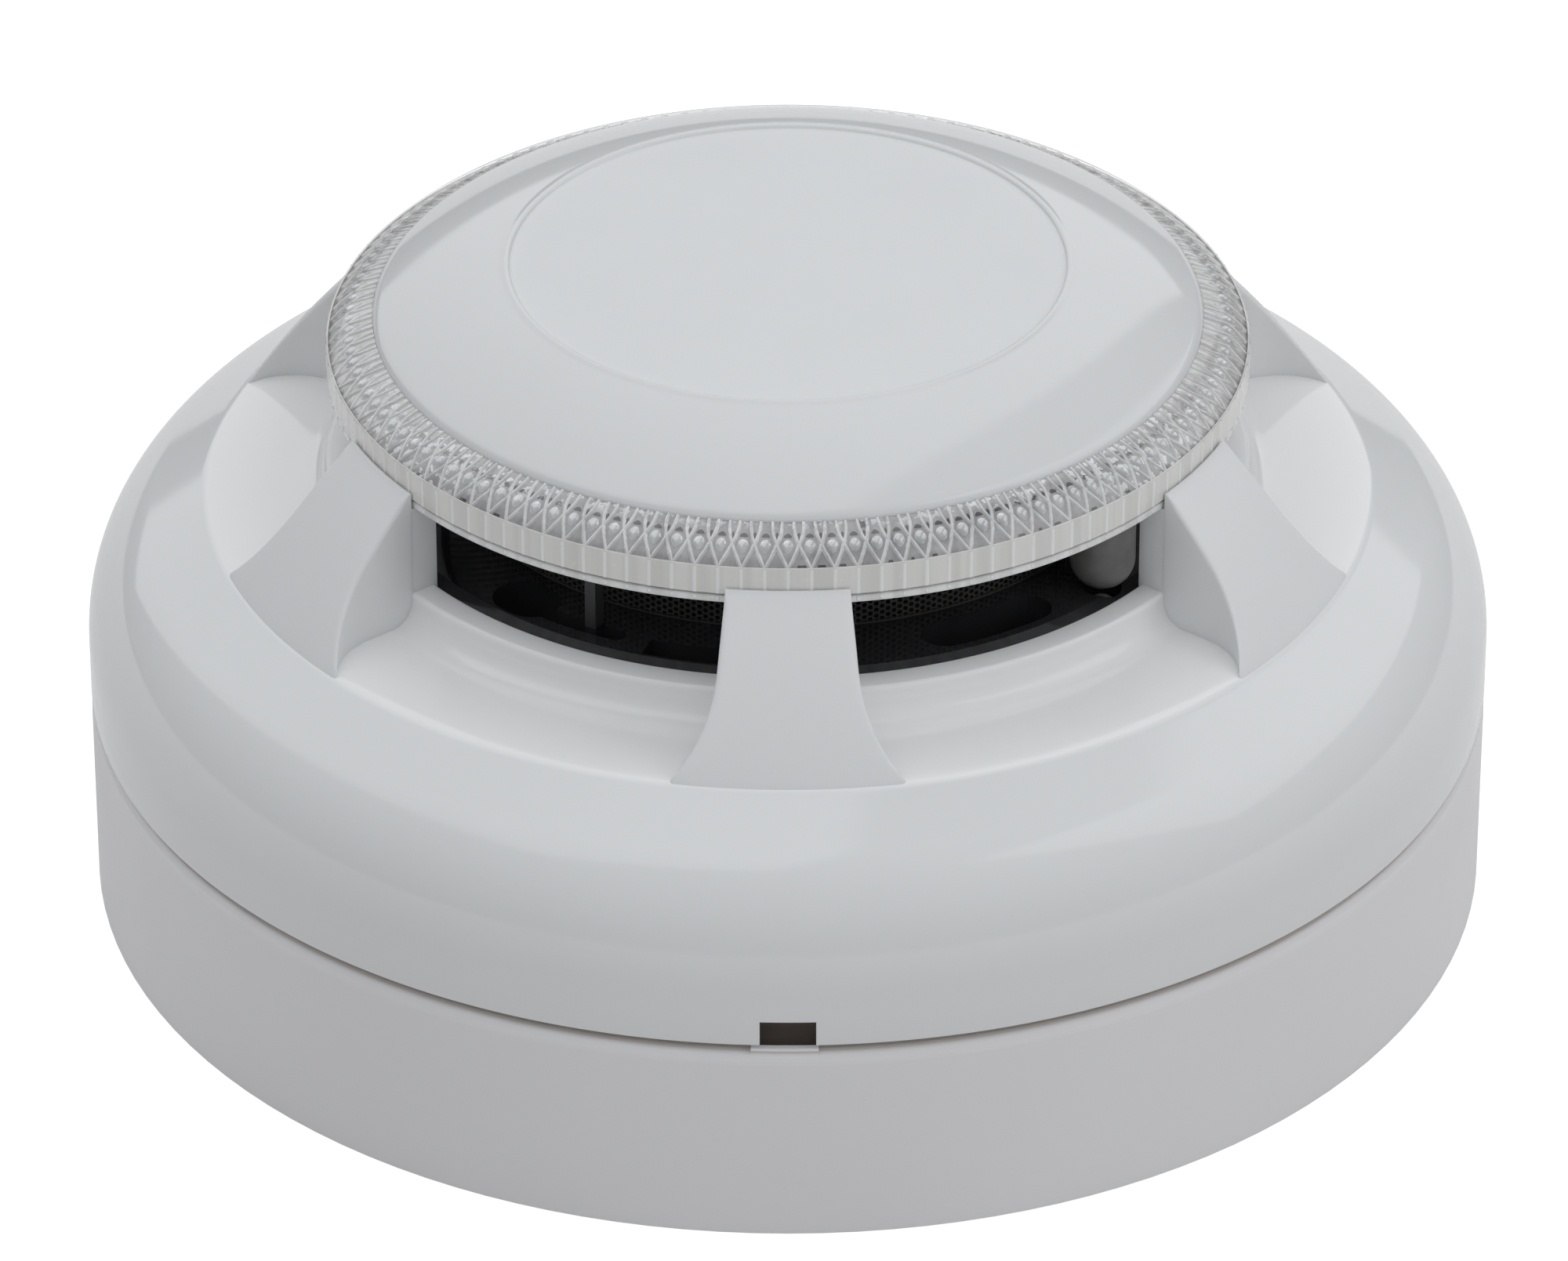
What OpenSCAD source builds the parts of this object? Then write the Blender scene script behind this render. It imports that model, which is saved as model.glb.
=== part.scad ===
// Point-type optical smoke detector: a detector head that twists into a round mounting base.
// Millimetres. The origin is the centre of the base's rear face, which meets the ceiling.
// +Z runs from the ceiling out through the cap, and the tool notch faces -Y.

/* [Base] */
// Outside diameter of the base and of the housing skirt
body_d = 102; // [101:0.5:104]
// Height of the base from its rear face to its rim
base_h = 15.1; // [15:0.1:16]
// Wall thickness of the base cup
base_wall = 2.2; // [1.8:0.1:2.3]
// Thickness of the base floor
base_floor = 2.2; // [1.8:0.1:2.4]
// Radius of the cable entry
cable_entry_r = 9.5; // [8:0.5:10]
// Distance between the centres of the two ceiling screw slots
fixing_pitch = 60; // [56:1:62]
// End-to-end length of a ceiling screw slot
fixing_slot_l = 12; // [8:1:14]
// Half the width of a ceiling screw slot
fixing_slot_r = 2.2; // [2:0.1:2.5]

/* [Seam and notch] */
// Gap between the base rim and the housing skirt
seam_gap = 0.6; // [0.4:0.05:0.65]
// Width of the tool notch in the skirt
notch_w = 3.9; // [3.5:0.1:4.5]
// Height of the tool notch
notch_h = 2; // [1.6:0.1:2.4]

/* [Housing] */
// Wall thickness of the housing shell
shell_t = 2; // [1.8:0.1:2.2]
// Radius of the shoulder between skirt and dome
shoulder_r = 10; // [9.5:0.1:10.5]
// Number of fins that carry the light ring
fin_count = 6; // [6:1:6]

/* [Cap and light ring] */
// Radius of the cap's edge
cap_r = 29.8; // [29.4:0.1:29.9]
// Radius of the flat disc in the middle of the cap
cap_disc_r = 20; // [18:0.5:21]
// Outside radius of the light ring
ring_r = 33.2; // [33:0.05:33.25]

/* [Chamber] */
// Outside radius of the insect screen
screen_r = 24.65; // [24.5:0.05:24.8]
// Number of light-blocking vanes, before those at the two optics are left out
vane_count = 30; // [24:1:30]

/* [Bayonet and latch] */
// Twist that frees the head from the base, in degrees
twist_deg = 16; // [15:0.5:17]
// Travel of the lock latch
latch_travel = 1.5; // [1:0.1:1.5]

/* [Hidden] */
$fn = 96;

white_colour = [0.86, 0.87, 0.87];
black_colour = [0.07, 0.07, 0.075];
brass_colour = [0.80, 0.66, 0.36];
steel_colour = [0.72, 0.73, 0.75];

eps = 0.01;
run_gap = 0.3;          // clearance between pieces that move past each other
body_r = body_d / 2;
cup_r = body_r - base_wall;
head_z = base_h + seam_gap;

// Terminals: four for the loop, and a fifth that joins the cable screens
loop_angles = [45, 135, 225, 315];
earth_angle = 90;
terminal_angles = concat(loop_angles, [earth_angle]);
pedestal_h = 6;         // top of a terminal pedestal
pedestal_r = [22, 42];  // inner and outer end
strip_t = 0.8;
strip_w = 7;
clamp_t = 1;
clamp_w = 7;
screw_r = 36.5;         // where a terminal screw stands
m3_shank_r = 1.6;
m3_hole_r = 1.65;
m3_head_r = 3.1;

// Bayonet: three lugs on the head turn under three ledges on the base
lug_angles = [60, 180, 300];
lug_arc = 14;
lug_r = [43, 48.3];
lug_t = 1.6;
lug_z = 8;
lug_wall_t = 1.8;
ledge_r = 45.3;
ledge_z = [10, 11.6];
stop_arc = 3;
stop_gap_deg = 0.8;

// Lock latch: a finger behind the notch, on a slide in the base floor
latch_angle = -90;
finger_w = 6;
finger_t = 1.8;
finger_top = 17.9;
pocket_wall = 0.7;      // rim left in front of the latch finger
slide_w = 9;
slide_l = 8.2;
slide_z = [2.5, 4.5];
latch_front = 48.2;
spring_z = 4;
spring_turns = 6;
spring_r = 1.25;
spring_wire_r = 0.2;
spring_front = 39.9;
spring_back = 33.65;
peg_r = 0.8;

// Heights in the head, measured from the ceiling
plate_z = [head_z + 0.9, head_z + 2.9];
board_z = [head_z + 5.3, head_z + 6.9];
board_r = 35.8;
crease_r = 42.3;
crease_z = head_z + 15.3;
terrace_z = head_z + 15.5;
lip_r = 31.3;
lip_top = head_z + 17.9;
tray_floor_z = head_z + 17.7;
ring_z = head_z + 24.7;        // underside of the light ring's flange
roof_z = [ring_z, ring_z + 1.4];
cap_edge_z = head_z + 29.7;
cap_disc_z = head_z + 33.3;
cap_top_z = head_z + 34.1;
shoulder_z = head_z + 4.3;
boss_r = 39.5;                 // where a housing screw stands
boss_angles = [0, 120, 240];
standoff_r = 32;
standoff_angles = [90, 210, 330];

// Chamber tray
tray_r = 31.1;
tray_rim_r = 30.1;
tray_bottom = head_z + 12.8;
pocket_depth = 3.5;
post_r = 28;
post_angles = [-119, 61];
pipe_r = 2.35;
pipe_place_r = 29.2;
pipe_angles = [-40.5, 139.5];

// Optics, aimed across the chamber's centre
optic_angles = [200, 340];
optic_r = 2.5;
optic_z = tray_floor_z + 3.4;
optic_span = [9, 21];
tunnel_w = 7.2;

// ---- Helpers -------------------------------------------------------------------------

// Points of an arc about (cx, cy) from angle a0 to a1
function arc(cx, cy, r, a0, a1, steps = 8) =
    [for (i = [0:steps]) let (a = a0 + (a1 - a0) * i / steps) [cx + r * cos(a), cy + r * sin(a)]];

// Points from p to q along a curve that bulges by `rise` to the left of the chord
function bulge(p, q, rise, steps = 10) =
    let (d = q - p, n = [-d[1], d[0]] / norm(d))
    [for (i = [0:steps]) let (t = i / steps) p + d * t + n * rise * 4 * t * (1 - t)];

// A sector of a disc, as an outline
module sector(r, a0, a1) {
    polygon(concat([[0, 0]], arc(0, 0, r, a0, a1, 6)));
}

// A curved bar: the part of a tube between two radii and two angles
module curved_bar(r0, r1, a0, a1, h) {
    linear_extrude(h)
        difference() {
            intersection() {
                circle(r1);
                sector(r1 * 1.3, a0, a1);
            }
            circle(r0);
        }
}

// A tube
module tube(r_out, r_in, h) {
    difference() {
        cylinder(r = r_out, h = h);
        translate([0, 0, -eps])
            cylinder(r = r_in, h = h + 2 * eps);
    }
}

// A block that runs outward from radius r0 to r1, centred across, from height z0 to z1
module radial_block(r0, r1, w, z0, z1) {
    translate([r0, -w / 2, z0])
        cube([r1 - r0, w, z1 - z0]);
}

// Turns children to each angle in a list
module at_angles(angles) {
    for (a = angles)
        rotate([0, 0, a])
            children();
}

// A pan-head screw that points down, with a straight slot in its head
module pan_screw(head_r, head_h, shank_r, shank_l) {
    slot_w = head_r * 0.32;
    difference() {
        union() {
            cylinder(r = head_r, h = head_h, $fn = 32);
            translate([0, 0, -shank_l])
                cylinder(r = shank_r, h = shank_l + eps, $fn = 32);
        }
        translate([-head_r - 1, -slot_w / 2, head_h * 0.5])
            cube([2 * head_r + 2, slot_w, head_h]);
    }
}

// One ring of the spring's wire, as points
function wire_ring(turn, sides) =
    let (a = 360 * turn,
         y = -spring_front + spring_wire_r
             + (spring_front - spring_back - 2 * spring_wire_r) * turn / spring_turns)
    [for (k = [0:sides - 1])
        let (b = 360 * k / sides, r = spring_r + spring_wire_r * cos(b))
        [r * cos(a), y + spring_wire_r * sin(b), spring_z + r * sin(a)]];

// ---- Base ----------------------------------------------------------------------------

module base_cup_profile() {
    edge_r = 1;
    relief = 0.8;
    relief_r = [15, 46];
    polygon(concat(
        [[0, 0], [relief_r[0], 0], [relief_r[0], relief], [relief_r[1], relief], [relief_r[1], 0]],
        [[body_r, 0]],
        arc(body_r - edge_r, base_h - edge_r, edge_r, 0, 90, 6),
        [[cup_r, base_h], [cup_r, base_floor], [0, base_floor]]
    ));
}

module fixing_slot() {
    straight = fixing_slot_l / 2 - fixing_slot_r;
    translate([0, 0, -1])
        linear_extrude(base_floor + 2) {
            for (side = [-1, 1])
                translate([side * straight, 0])
                    circle(fixing_slot_r, $fn = 32);
            square([2 * straight, 2 * fixing_slot_r], center = true);
        }
}

// Thickened pad that a ceiling screw's head pulls down on
module fixing_pad() {
    translate([-fixing_slot_l / 2 - 2.5, -5, 0])
        cube([fixing_slot_l + 5, 10, base_floor]);
}

module bayonet_ledge() {
    half = lug_arc / 2;
    translate([0, 0, ledge_z[0]])
        curved_bar(ledge_r, cup_r + 0.3, -half, half, ledge_z[1] - ledge_z[0]);
    stop_start = -half - stop_gap_deg;
    translate([0, 0, lug_z - 1])
        curved_bar(ledge_r, cup_r + 0.3, stop_start - stop_arc, stop_start, ledge_z[1] - lug_z + 1);
    release_start = half + twist_deg + stop_gap_deg;
    translate([0, 0, base_floor - eps])
        curved_bar(ledge_r, cup_r + 0.3, release_start, release_start + stop_arc, ledge_z[1] - base_floor);
}

// Rails with overhanging lips that hold the latch's slide
module latch_rails() {
    rail_w = 1.8;
    rail_y = [-47, slide_l + latch_travel + 2.5 - latch_front];
    lip = 0.9;
    inner_x = slide_w / 2 + run_gap;
    lip_z = slide_z[1] + 0.4;
    for (side = [-1, 1])
        mirror([side < 0 ? 1 : 0, 0, 0]) {
            translate([inner_x, rail_y[0], base_floor - eps])
                cube([rail_w, rail_y[1] - rail_y[0], lip_z + 0.8 - base_floor]);
            translate([inner_x - lip, rail_y[0], lip_z])
                cube([lip + eps, rail_y[1] - rail_y[0], 0.8]);
        }
}

// Post that the latch spring pushes against
module spring_post() {
    translate([-3, -spring_back, base_floor - eps])
        cube([6, 1.6, 4]);
    translate([0, -spring_back, spring_z])
        rotate([90, 0, 0])
            cylinder(r = peg_r, h = 1.2, $fn = 24);
}

// Low tab on the rim, under the tool notch and a little past its left side
module rim_tab() {
    tab_deg = [-2.9, 2.4];
    tab_r = [body_r - pocket_wall, body_r - 0.25];
    tab_top = head_z - 0.35;
    translate([0, 0, base_h - 0.6])
        curved_bar(tab_r[0], tab_r[1], latch_angle + tab_deg[0], latch_angle + tab_deg[1],
            tab_top - base_h + 0.6);
}

// Pocket that opens the rim to the latch finger, as wide as the notch, behind a thin front wall
module latch_pocket() {
    half_deg = asin((notch_w / 2 + 0.1) / body_r);
    floor_z = 11.8;
    translate([0, 0, floor_z])
        curved_bar(cup_r - 0.5, body_r - pocket_wall, latch_angle - half_deg, latch_angle + half_deg,
            base_h);
}

module mounting_base() {
    hub_r = cable_entry_r + 2;
    hub_h = base_floor + 1.8;
    color(white_colour)
        difference() {
            union() {
                rotate_extrude($fn = 180)
                    base_cup_profile();
                cylinder(r = hub_r, h = hub_h);
                for (side = [-1, 1])
                    translate([side * fixing_pitch / 2, 0, 0])
                        fixing_pad();
                at_angles(terminal_angles)
                    radial_block(pedestal_r[0], pedestal_r[1], 9, base_floor - eps, pedestal_h);
                at_angles(lug_angles)
                    bayonet_ledge();
                latch_rails();
                spring_post();
                rim_tab();
            }
            latch_pocket();
            translate([0, 0, -1])
                cylinder(r = cable_entry_r, h = hub_h + 2);
            for (side = [-1, 1])
                translate([side * fixing_pitch / 2, 0, 0])
                    fixing_slot();
            at_angles(terminal_angles) {
                translate([screw_r, 0, base_floor + 0.6])
                    cylinder(r = m3_hole_r, h = pedestal_h, $fn = 32);
                radial_block(pedestal_r[0] + 2, screw_r - 4, 6, -1, pedestal_h - 1.6);
            }
        }
}

// Flat strip on each pedestal, turned up at its inner end
module terminal_strips() {
    inner = pedestal_r[0] + 0.5;
    color(brass_colour)
        at_angles(terminal_angles)
            difference() {
                union() {
                    radial_block(inner, 41, strip_w, pedestal_h, pedestal_h + strip_t);
                    radial_block(inner, inner + strip_t, strip_w, pedestal_h, pedestal_h + 2.2);
                }
                translate([screw_r, 0, pedestal_h - 1])
                    cylinder(r = m3_hole_r, h = 3, $fn = 32);
            }
}

// Square washer that presses a wire on the strip, with two turned-down ears
module clamp_washers() {
    z = pedestal_h + strip_t;
    color(steel_colour)
        at_angles(terminal_angles)
            translate([screw_r, 0, z])
                difference() {
                    translate([-clamp_w / 2, -clamp_w / 2, 0])
                        cube([clamp_w, clamp_w, clamp_t]);
                    translate([0, 0, -1])
                        cylinder(r = m3_hole_r, h = 3, $fn = 32);
                    for (side = [-1, 1])
                        translate([-clamp_w / 2 - 1, side * 2.6 - 0.5, -eps])
                            cube([clamp_w + 2, 1, 0.35]);
                }
}

module terminal_screws() {
    color(steel_colour)
        at_angles(terminal_angles)
            translate([screw_r, 0, pedestal_h + strip_t + clamp_t])
                pan_screw(m3_head_r, 2.2, m3_shank_r, 4.8);
}

module latch_spring() {
    sides = 8;
    steps_a_turn = 16;
    rings = spring_turns * steps_a_turn;
    side_faces = [for (i = [0:rings - 1], k = [0:sides - 1])
        let (n = (k + 1) % sides)
        [i * sides + k, (i + 1) * sides + k, (i + 1) * sides + n, i * sides + n]];
    start_cap = [[for (k = [0:sides - 1]) k]];
    end_cap = [[for (k = [sides - 1:-1:0]) rings * sides + k]];
    color(steel_colour)
        polyhedron(
            points = [for (i = [0:rings]) each wire_ring(i / steps_a_turn, sides)],
            faces = concat(side_faces, start_cap, end_cap)
        );
}

// ---- Lock latch ----------------------------------------------------------------------

module lock_latch() {
    seat_t = 1.3;
    seat_top = 6;
    slide_back = latch_front - slide_l;
    color([0.16, 0.16, 0.17])
        union() {
            translate([-slide_w / 2, -latch_front, slide_z[0]])
                cube([slide_w, slide_l, slide_z[1] - slide_z[0]]);
            translate([-finger_w / 2, -latch_front, slide_z[0]])
                cube([finger_w, finger_t, finger_top - slide_z[0]]);
            translate([-2.2, -slide_back - seat_t, slide_z[0]])
                cube([4.4, seat_t, seat_top - slide_z[0]]);
            translate([0, -slide_back + 1.2, spring_z])
                rotate([90, 0, 0])
                    cylinder(r = peg_r, h = 1.2 + eps, $fn = 24);
        }
}

// ---- Head: rear ----------------------------------------------------------------------

module bayonet_lug() {
    half = lug_arc / 2;
    translate([0, 0, lug_z])
        curved_bar(lug_r[0], lug_r[0] + lug_wall_t, -half, half, plate_z[0] - lug_z + eps);
    translate([0, 0, lug_z])
        curved_bar(lug_r[0], lug_r[1], -half, half, lug_t);
}

module back_plate() {
    plate_r = body_r - shell_t - 0.4;
    recess_margin = 7;
    color(white_colour)
        difference() {
            union() {
                translate([0, 0, plate_z[0]])
                    cylinder(r = plate_r, h = plate_z[1] - plate_z[0], $fn = 180);
                at_angles(lug_angles)
                    bayonet_lug();
                at_angles(standoff_angles)
                    translate([standoff_r, 0, plate_z[1] - eps])
                        cylinder(r = 3, h = board_z[0] - plate_z[1] + eps, $fn = 32);
            }
            // Way for the latch finger over the whole twist
            translate([0, 0, plate_z[0] - 1])
                curved_bar(43.2, plate_r + 1, latch_angle - twist_deg - recess_margin,
                    latch_angle + recess_margin, plate_z[1] - plate_z[0] + 2);
            at_angles(boss_angles)
                translate([boss_r, 0, plate_z[0] - 1])
                    cylinder(r = 1.45, h = 5, $fn = 32);
            at_angles(standoff_angles)
                translate([standoff_r, 0, plate_z[0] + 0.8])
                    cylinder(r = 1.05, h = 8, $fn = 24);
            at_angles(loop_angles)
                translate([standoff_r - 1, 0, plate_z[0] - 1])
                    cylinder(r = 0.85, h = 5, $fn = 24);
        }
}

// Blade under the back plate: a fixed flange, a riser and a foot that wipes on a strip
module contact_blades() {
    w = 6;
    inner = 24;
    foot_z = pedestal_h + strip_t + 0.35;
    top = plate_z[0];
    color(brass_colour)
        at_angles(loop_angles)
            difference() {
                union() {
                    radial_block(inner, 34, w, top - strip_t, top);
                    radial_block(inner, inner + strip_t, w, foot_z, top - eps);
                    radial_block(inner, 31, w, foot_z, foot_z + strip_t);
                }
                translate([standoff_r - 1, 0, top - 2])
                    cylinder(r = 0.85, h = 3, $fn = 24);
            }
}

// Pin through blade, back plate and board, headed at its lower end
module contact_rivets() {
    head_h = 0.6;
    z0 = plate_z[0] - strip_t - head_h;
    color(brass_colour)
        at_angles(loop_angles)
            translate([standoff_r - 1, 0, z0]) {
                cylinder(r = 1.6, h = head_h, $fn = 24);
                cylinder(r = 0.8, h = board_z[1] + 0.8 - z0, $fn = 24);
            }
}

module housing_screws() {
    head_h = 1.6;
    color(steel_colour)
        at_angles(boss_angles)
            translate([boss_r, 0, plate_z[0]])
                mirror([0, 0, 1])
                    pan_screw(2.8, head_h, 1.35, 8);
}

// ---- Head: electronics ---------------------------------------------------------------

module circuit_board() {
    color([0.10, 0.36, 0.20])
        difference() {
            translate([0, 0, board_z[0]])
                cylinder(r = board_r, h = board_z[1] - board_z[0], $fn = 120);
            at_angles(standoff_angles)
                translate([standoff_r, 0, board_z[0] - 1])
                    cylinder(r = 1.15, h = 4, $fn = 24);
            at_angles(loop_angles)
                translate([standoff_r - 1, 0, board_z[0] - 1])
                    cylinder(r = 0.85, h = 4, $fn = 24);
        }
}

module board_screws() {
    color(steel_colour)
        at_angles(standoff_angles)
            translate([standoff_r, 0, board_z[1]])
                pan_screw(2.1, 1.3, 1, 4.4);
}

module microcontroller() {
    body = 7;
    lead_pitch = 0.8;
    translate([-6, -12, board_z[1]]) {
        color(black_colour)
            translate([-body / 2, -body / 2, 0.1])
                cube([body, body, 1.2]);
        color(steel_colour)
            at_angles([0, 90, 180, 270])
                for (i = [-3:3])
                    translate([body / 2 - eps, i * lead_pitch - 0.15, 0])
                        cube([1, 0.3, 0.2]);
    }
}

module driver_chips() {
    places = [[12, -14], [10, 12]];
    body = [4.9, 3.9, 1.5];
    for (p = places)
        translate([p[0], p[1], board_z[1]]) {
            color(black_colour)
                translate([-body[0] / 2, -body[1] / 2, 0.1])
                    cube(body);
            color(steel_colour)
                for (side = [-1, 1], i = [-1.5:1.5])
                    translate([i * 1.27 - 0.2, side > 0 ? body[1] / 2 - eps : -body[1] / 2 - 1 + eps, 0])
                        cube([0.4, 1, 0.25]);
        }
}

module capacitors() {
    places = [[-20, 6], [-20, -6]];
    color([0.15, 0.17, 0.35])
        for (p = places)
            translate([p[0], p[1], board_z[1]])
                cylinder(r = 3.1, h = 5.4, $fn = 40);
}

// Rows of surface-mount resistors and capacitors
module chip_resistors() {
    rows = [[0, 20], [18, -4], [-8, 14]];
    for (row = rows, i = [0:4])
        color(i % 2 == 0 ? [0.1, 0.1, 0.1] : [0.62, 0.50, 0.36])
            translate([row[0] + i * 1.8 - 3.6, row[1] - 0.8, board_z[1]])
                cube([0.9, 1.6, 0.5]);
}

// Tinned can over the receiver's amplifier, open underneath
module shield_can() {
    size = [10, 8, 3.2];
    wall = 0.3;
    translate([2, 2, board_z[1]])
        color(steel_colour)
            difference() {
                translate([-size[0] / 2, -size[1] / 2, 0])
                    cube(size);
                translate([-size[0] / 2 + wall, -size[1] / 2 + wall, -wall])
                    cube([size[0] - 2 * wall, size[1] - 2 * wall, size[2]]);
            }
}

// Lamp under each light pipe, on two leads
module indicator_leds() {
    lamp_r = 1.2;
    lamp_z = tray_floor_z - 4.4;
    lens_h = 2.4;
    at_angles(pipe_angles)
        translate([pipe_place_r, 0, 0]) {
            color([0.95, 0.93, 0.88]) {
                translate([0, 0, lamp_z])
                    cylinder(r = lamp_r, h = lens_h, $fn = 32);
                translate([0, 0, lamp_z + lens_h])
                    sphere(r = lamp_r, $fn = 32);
            }
            color(steel_colour)
                for (side = [-1, 1])
                    translate([side * 0.8 - 0.2, -0.2, board_z[1]])
                        cube([0.4, 0.4, lamp_z - board_z[1] + eps]);
        }
}

// Frosted rod with a round lower end, hung from the underside of the light ring
module light_pipes() {
    centre_z = tray_floor_z + pipe_r + 0.15;
    color([0.80, 0.81, 0.82])
        at_angles(pipe_angles)
            translate([pipe_place_r, 0, 0]) {
                translate([0, 0, centre_z])
                    cylinder(r = pipe_r, h = ring_z - centre_z, $fn = 48);
                translate([0, 0, centre_z])
                    sphere(r = pipe_r, $fn = 48);
            }
}

// ---- Head: smoke chamber -------------------------------------------------------------

// Outline of a round-ended slot that follows an arc
function slot_outline(r, half_w, a0, a1) = concat(
    arc(0, 0, r + half_w, a0, a1, 6),
    arc(r * cos(a1), r * sin(a1), half_w, a1 + 20, a1 + 160, 7),
    arc(0, 0, r - half_w, a1, a0, 6),
    arc(r * cos(a0), r * sin(a0), half_w, a0 + 200, a0 + 340, 7)
);

// The three pockets of one side: oblong, square-ended, and round with a narrow tail
module pockets() {
    square_r = [27.9, 29.9];
    translate([0, 0, tray_floor_z - pocket_depth])
        linear_extrude(pocket_depth + 1) {
            polygon(slot_outline(27.7, 1.75, -66.5, -52.5));
            polygon(concat(arc(0, 0, square_r[1], -110, -96, 5), arc(0, 0, square_r[0], -96, -110, 5)));
            polygon(slot_outline(27.8, 2.1, -132.5, -130.5));
            polygon(slot_outline(28.3, 0.7, -130.5, -115.2));
        }
}

module tray_profile() {
    well_r = 23;
    flange_r = 35;
    flange_z = [head_z + 11.5, head_z + 12.5];
    polygon([
        [0, tray_floor_z - 1.6], [well_r, tray_floor_z - 1.6], [well_r, tray_bottom],
        [29, tray_bottom], [29, flange_z[0]], [flange_r, flange_z[0]], [flange_r, flange_z[1]],
        [tray_r, flange_z[1]], [tray_r, tray_floor_z - 0.5], [tray_rim_r, tray_floor_z],
        [0, tray_floor_z]
    ]);
}

// Black floor around the chamber, with pockets, two thin posts and three legs
module chamber_tray() {
    leg_angles = [30, 150, 270];
    color(black_colour) {
        difference() {
            rotate_extrude($fn = 120)
                tray_profile();
            at_angles([0, 180])
                pockets();
            at_angles(pipe_angles)
                translate([pipe_place_r, 0, tray_bottom - 2])
                    cylinder(r = 1.4, h = 8, $fn = 32);
        }
        at_angles(post_angles)
            radial_block(post_r - 0.6, post_r + 0.6, 0.85, tray_floor_z - pocket_depth - eps, ring_z);
        at_angles(leg_angles)
            translate([26, 0, board_z[1]])
                cylinder(r = 1.8, h = tray_bottom - board_z[1] + eps, $fn = 24);
    }
}

// Foam ring that keeps air behind the housing out of the chamber
module chamber_seal() {
    color([0.25, 0.25, 0.26])
        translate([0, 0, head_z + 12.5])
            tube(34.8, 31.6, terrace_z - shell_t - head_z - 12.5);
}

// Holder for the emitter and the photodiode: a floor disc with two tunnels
module optical_block() {
    floor_t = 0.8;
    tunnel_top = ring_z - 0.6;
    color(black_colour)
        difference() {
            union() {
                translate([0, 0, tray_floor_z])
                    cylinder(r = 15.4, h = floor_t);
                at_angles(optic_angles)
                    radial_block(optic_span[0], optic_span[1], tunnel_w, tray_floor_z, tunnel_top);
            }
            at_angles(optic_angles)
                translate([0, 0, optic_z])
                    rotate([0, 90, 0]) {
                        cylinder(r = 1.5, h = optic_span[0] + 3, $fn = 32);
                        translate([0, 0, optic_span[0] + 2.6])
                            cylinder(r = optic_r + 0.1, h = 12, $fn = 32);
                    }
        }
}

// Ring of bent vanes between the optics and the screen, cut away where the tunnels stand
module labyrinth() {
    ring = [16, 23.9];
    floor_t = 0.8;
    vane = [[16.6, 0], [20, 1.9], [23.7, 0.4]];
    vane_t = 0.9;
    keep_clear = 19;
    pitch = 360 / vane_count;
    vane_angles = [for (k = [0:vane_count - 1])
        if (min([for (o = optic_angles) abs((k * pitch - o + 540) % 360 - 180)]) > keep_clear)
            k * pitch];
    color(black_colour) {
        translate([0, 0, tray_floor_z])
            difference() {
                tube(ring[1], ring[0], floor_t);
                at_angles(optic_angles)
                    radial_block(ring[0] - 1, optic_span[1] + 0.3, tunnel_w + 0.6, -1, floor_t + 1);
            }
        at_angles(vane_angles)
            translate([0, 0, tray_floor_z + floor_t - eps])
                linear_extrude(ring_z - tray_floor_z - floor_t - 0.1)
                    polygon(concat(vane, [for (i = [2:-1:0]) vane[i] + [0, vane_t]]));
    }
}

// Domed 5 mm optical part: a flange, a body and a round nose that points at the centre
module optic_part(angle) {
    nose = optic_span[0] + 3.2 + optic_r;
    tail = optic_span[1] - 0.6;
    rotate([0, 0, angle])
        translate([0, 0, optic_z])
            rotate([0, 90, 0]) {
                translate([0, 0, nose])
                    sphere(r = optic_r, $fn = 48);
                translate([0, 0, nose])
                    cylinder(r = optic_r, h = tail - nose, $fn = 48);
            }
}

module infrared_emitter() {
    color([0.45, 0.50, 0.72])
        optic_part(optic_angles[0]);
}

module photodiode() {
    color([0.22, 0.10, 0.12])
        optic_part(optic_angles[1]);
}

module insect_screen() {
    screen_t = 0.4;
    color([0.12, 0.12, 0.12])
        translate([0, 0, tray_floor_z])
            tube(screen_r, screen_r - screen_t, ring_z - tray_floor_z);
}

module chamber_roof() {
    color(black_colour) {
        translate([0, 0, roof_z[0]])
            cylinder(r = screen_r + 0.1, h = roof_z[1] - roof_z[0]);
        translate([0, 0, roof_z[1] - eps])
            tube(22, 20.5, cap_disc_z - 2.9 - roof_z[1]);
    }
}

// ---- Head: outer shell ---------------------------------------------------------------

module housing_profile() {
    shoulder_x = body_r - shoulder_r;
    end_angle = 57.8;
    inner_r = shoulder_r - shell_t;
    fillet = 1.8;
    lip_edge = 0.35;
    lip_wall = lip_r + 2.1;
    terrace_in = lip_wall + fillet;
    polygon(concat(
        [[body_r - shell_t, head_z], [body_r, head_z]],
        arc(shoulder_x, shoulder_z, shoulder_r, 0, end_angle, 12),
        [[crease_r, crease_z], [crease_r - 0.5, crease_z + 0.1], [terrace_in, terrace_z]],
        arc(terrace_in, terrace_z + fillet, fillet, 270, 180, 8),
        arc(lip_wall - lip_edge, lip_top - lip_edge, lip_edge, 0, 90, 6),
        arc(lip_r + 0.3, lip_top - 0.3, 0.3, 90, 180, 4),
        [[lip_r, terrace_z - shell_t], [crease_r - 1.6, terrace_z - shell_t]],
        arc(shoulder_x, shoulder_z, inner_r, end_angle, 0, 12)
    ));
}

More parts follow.
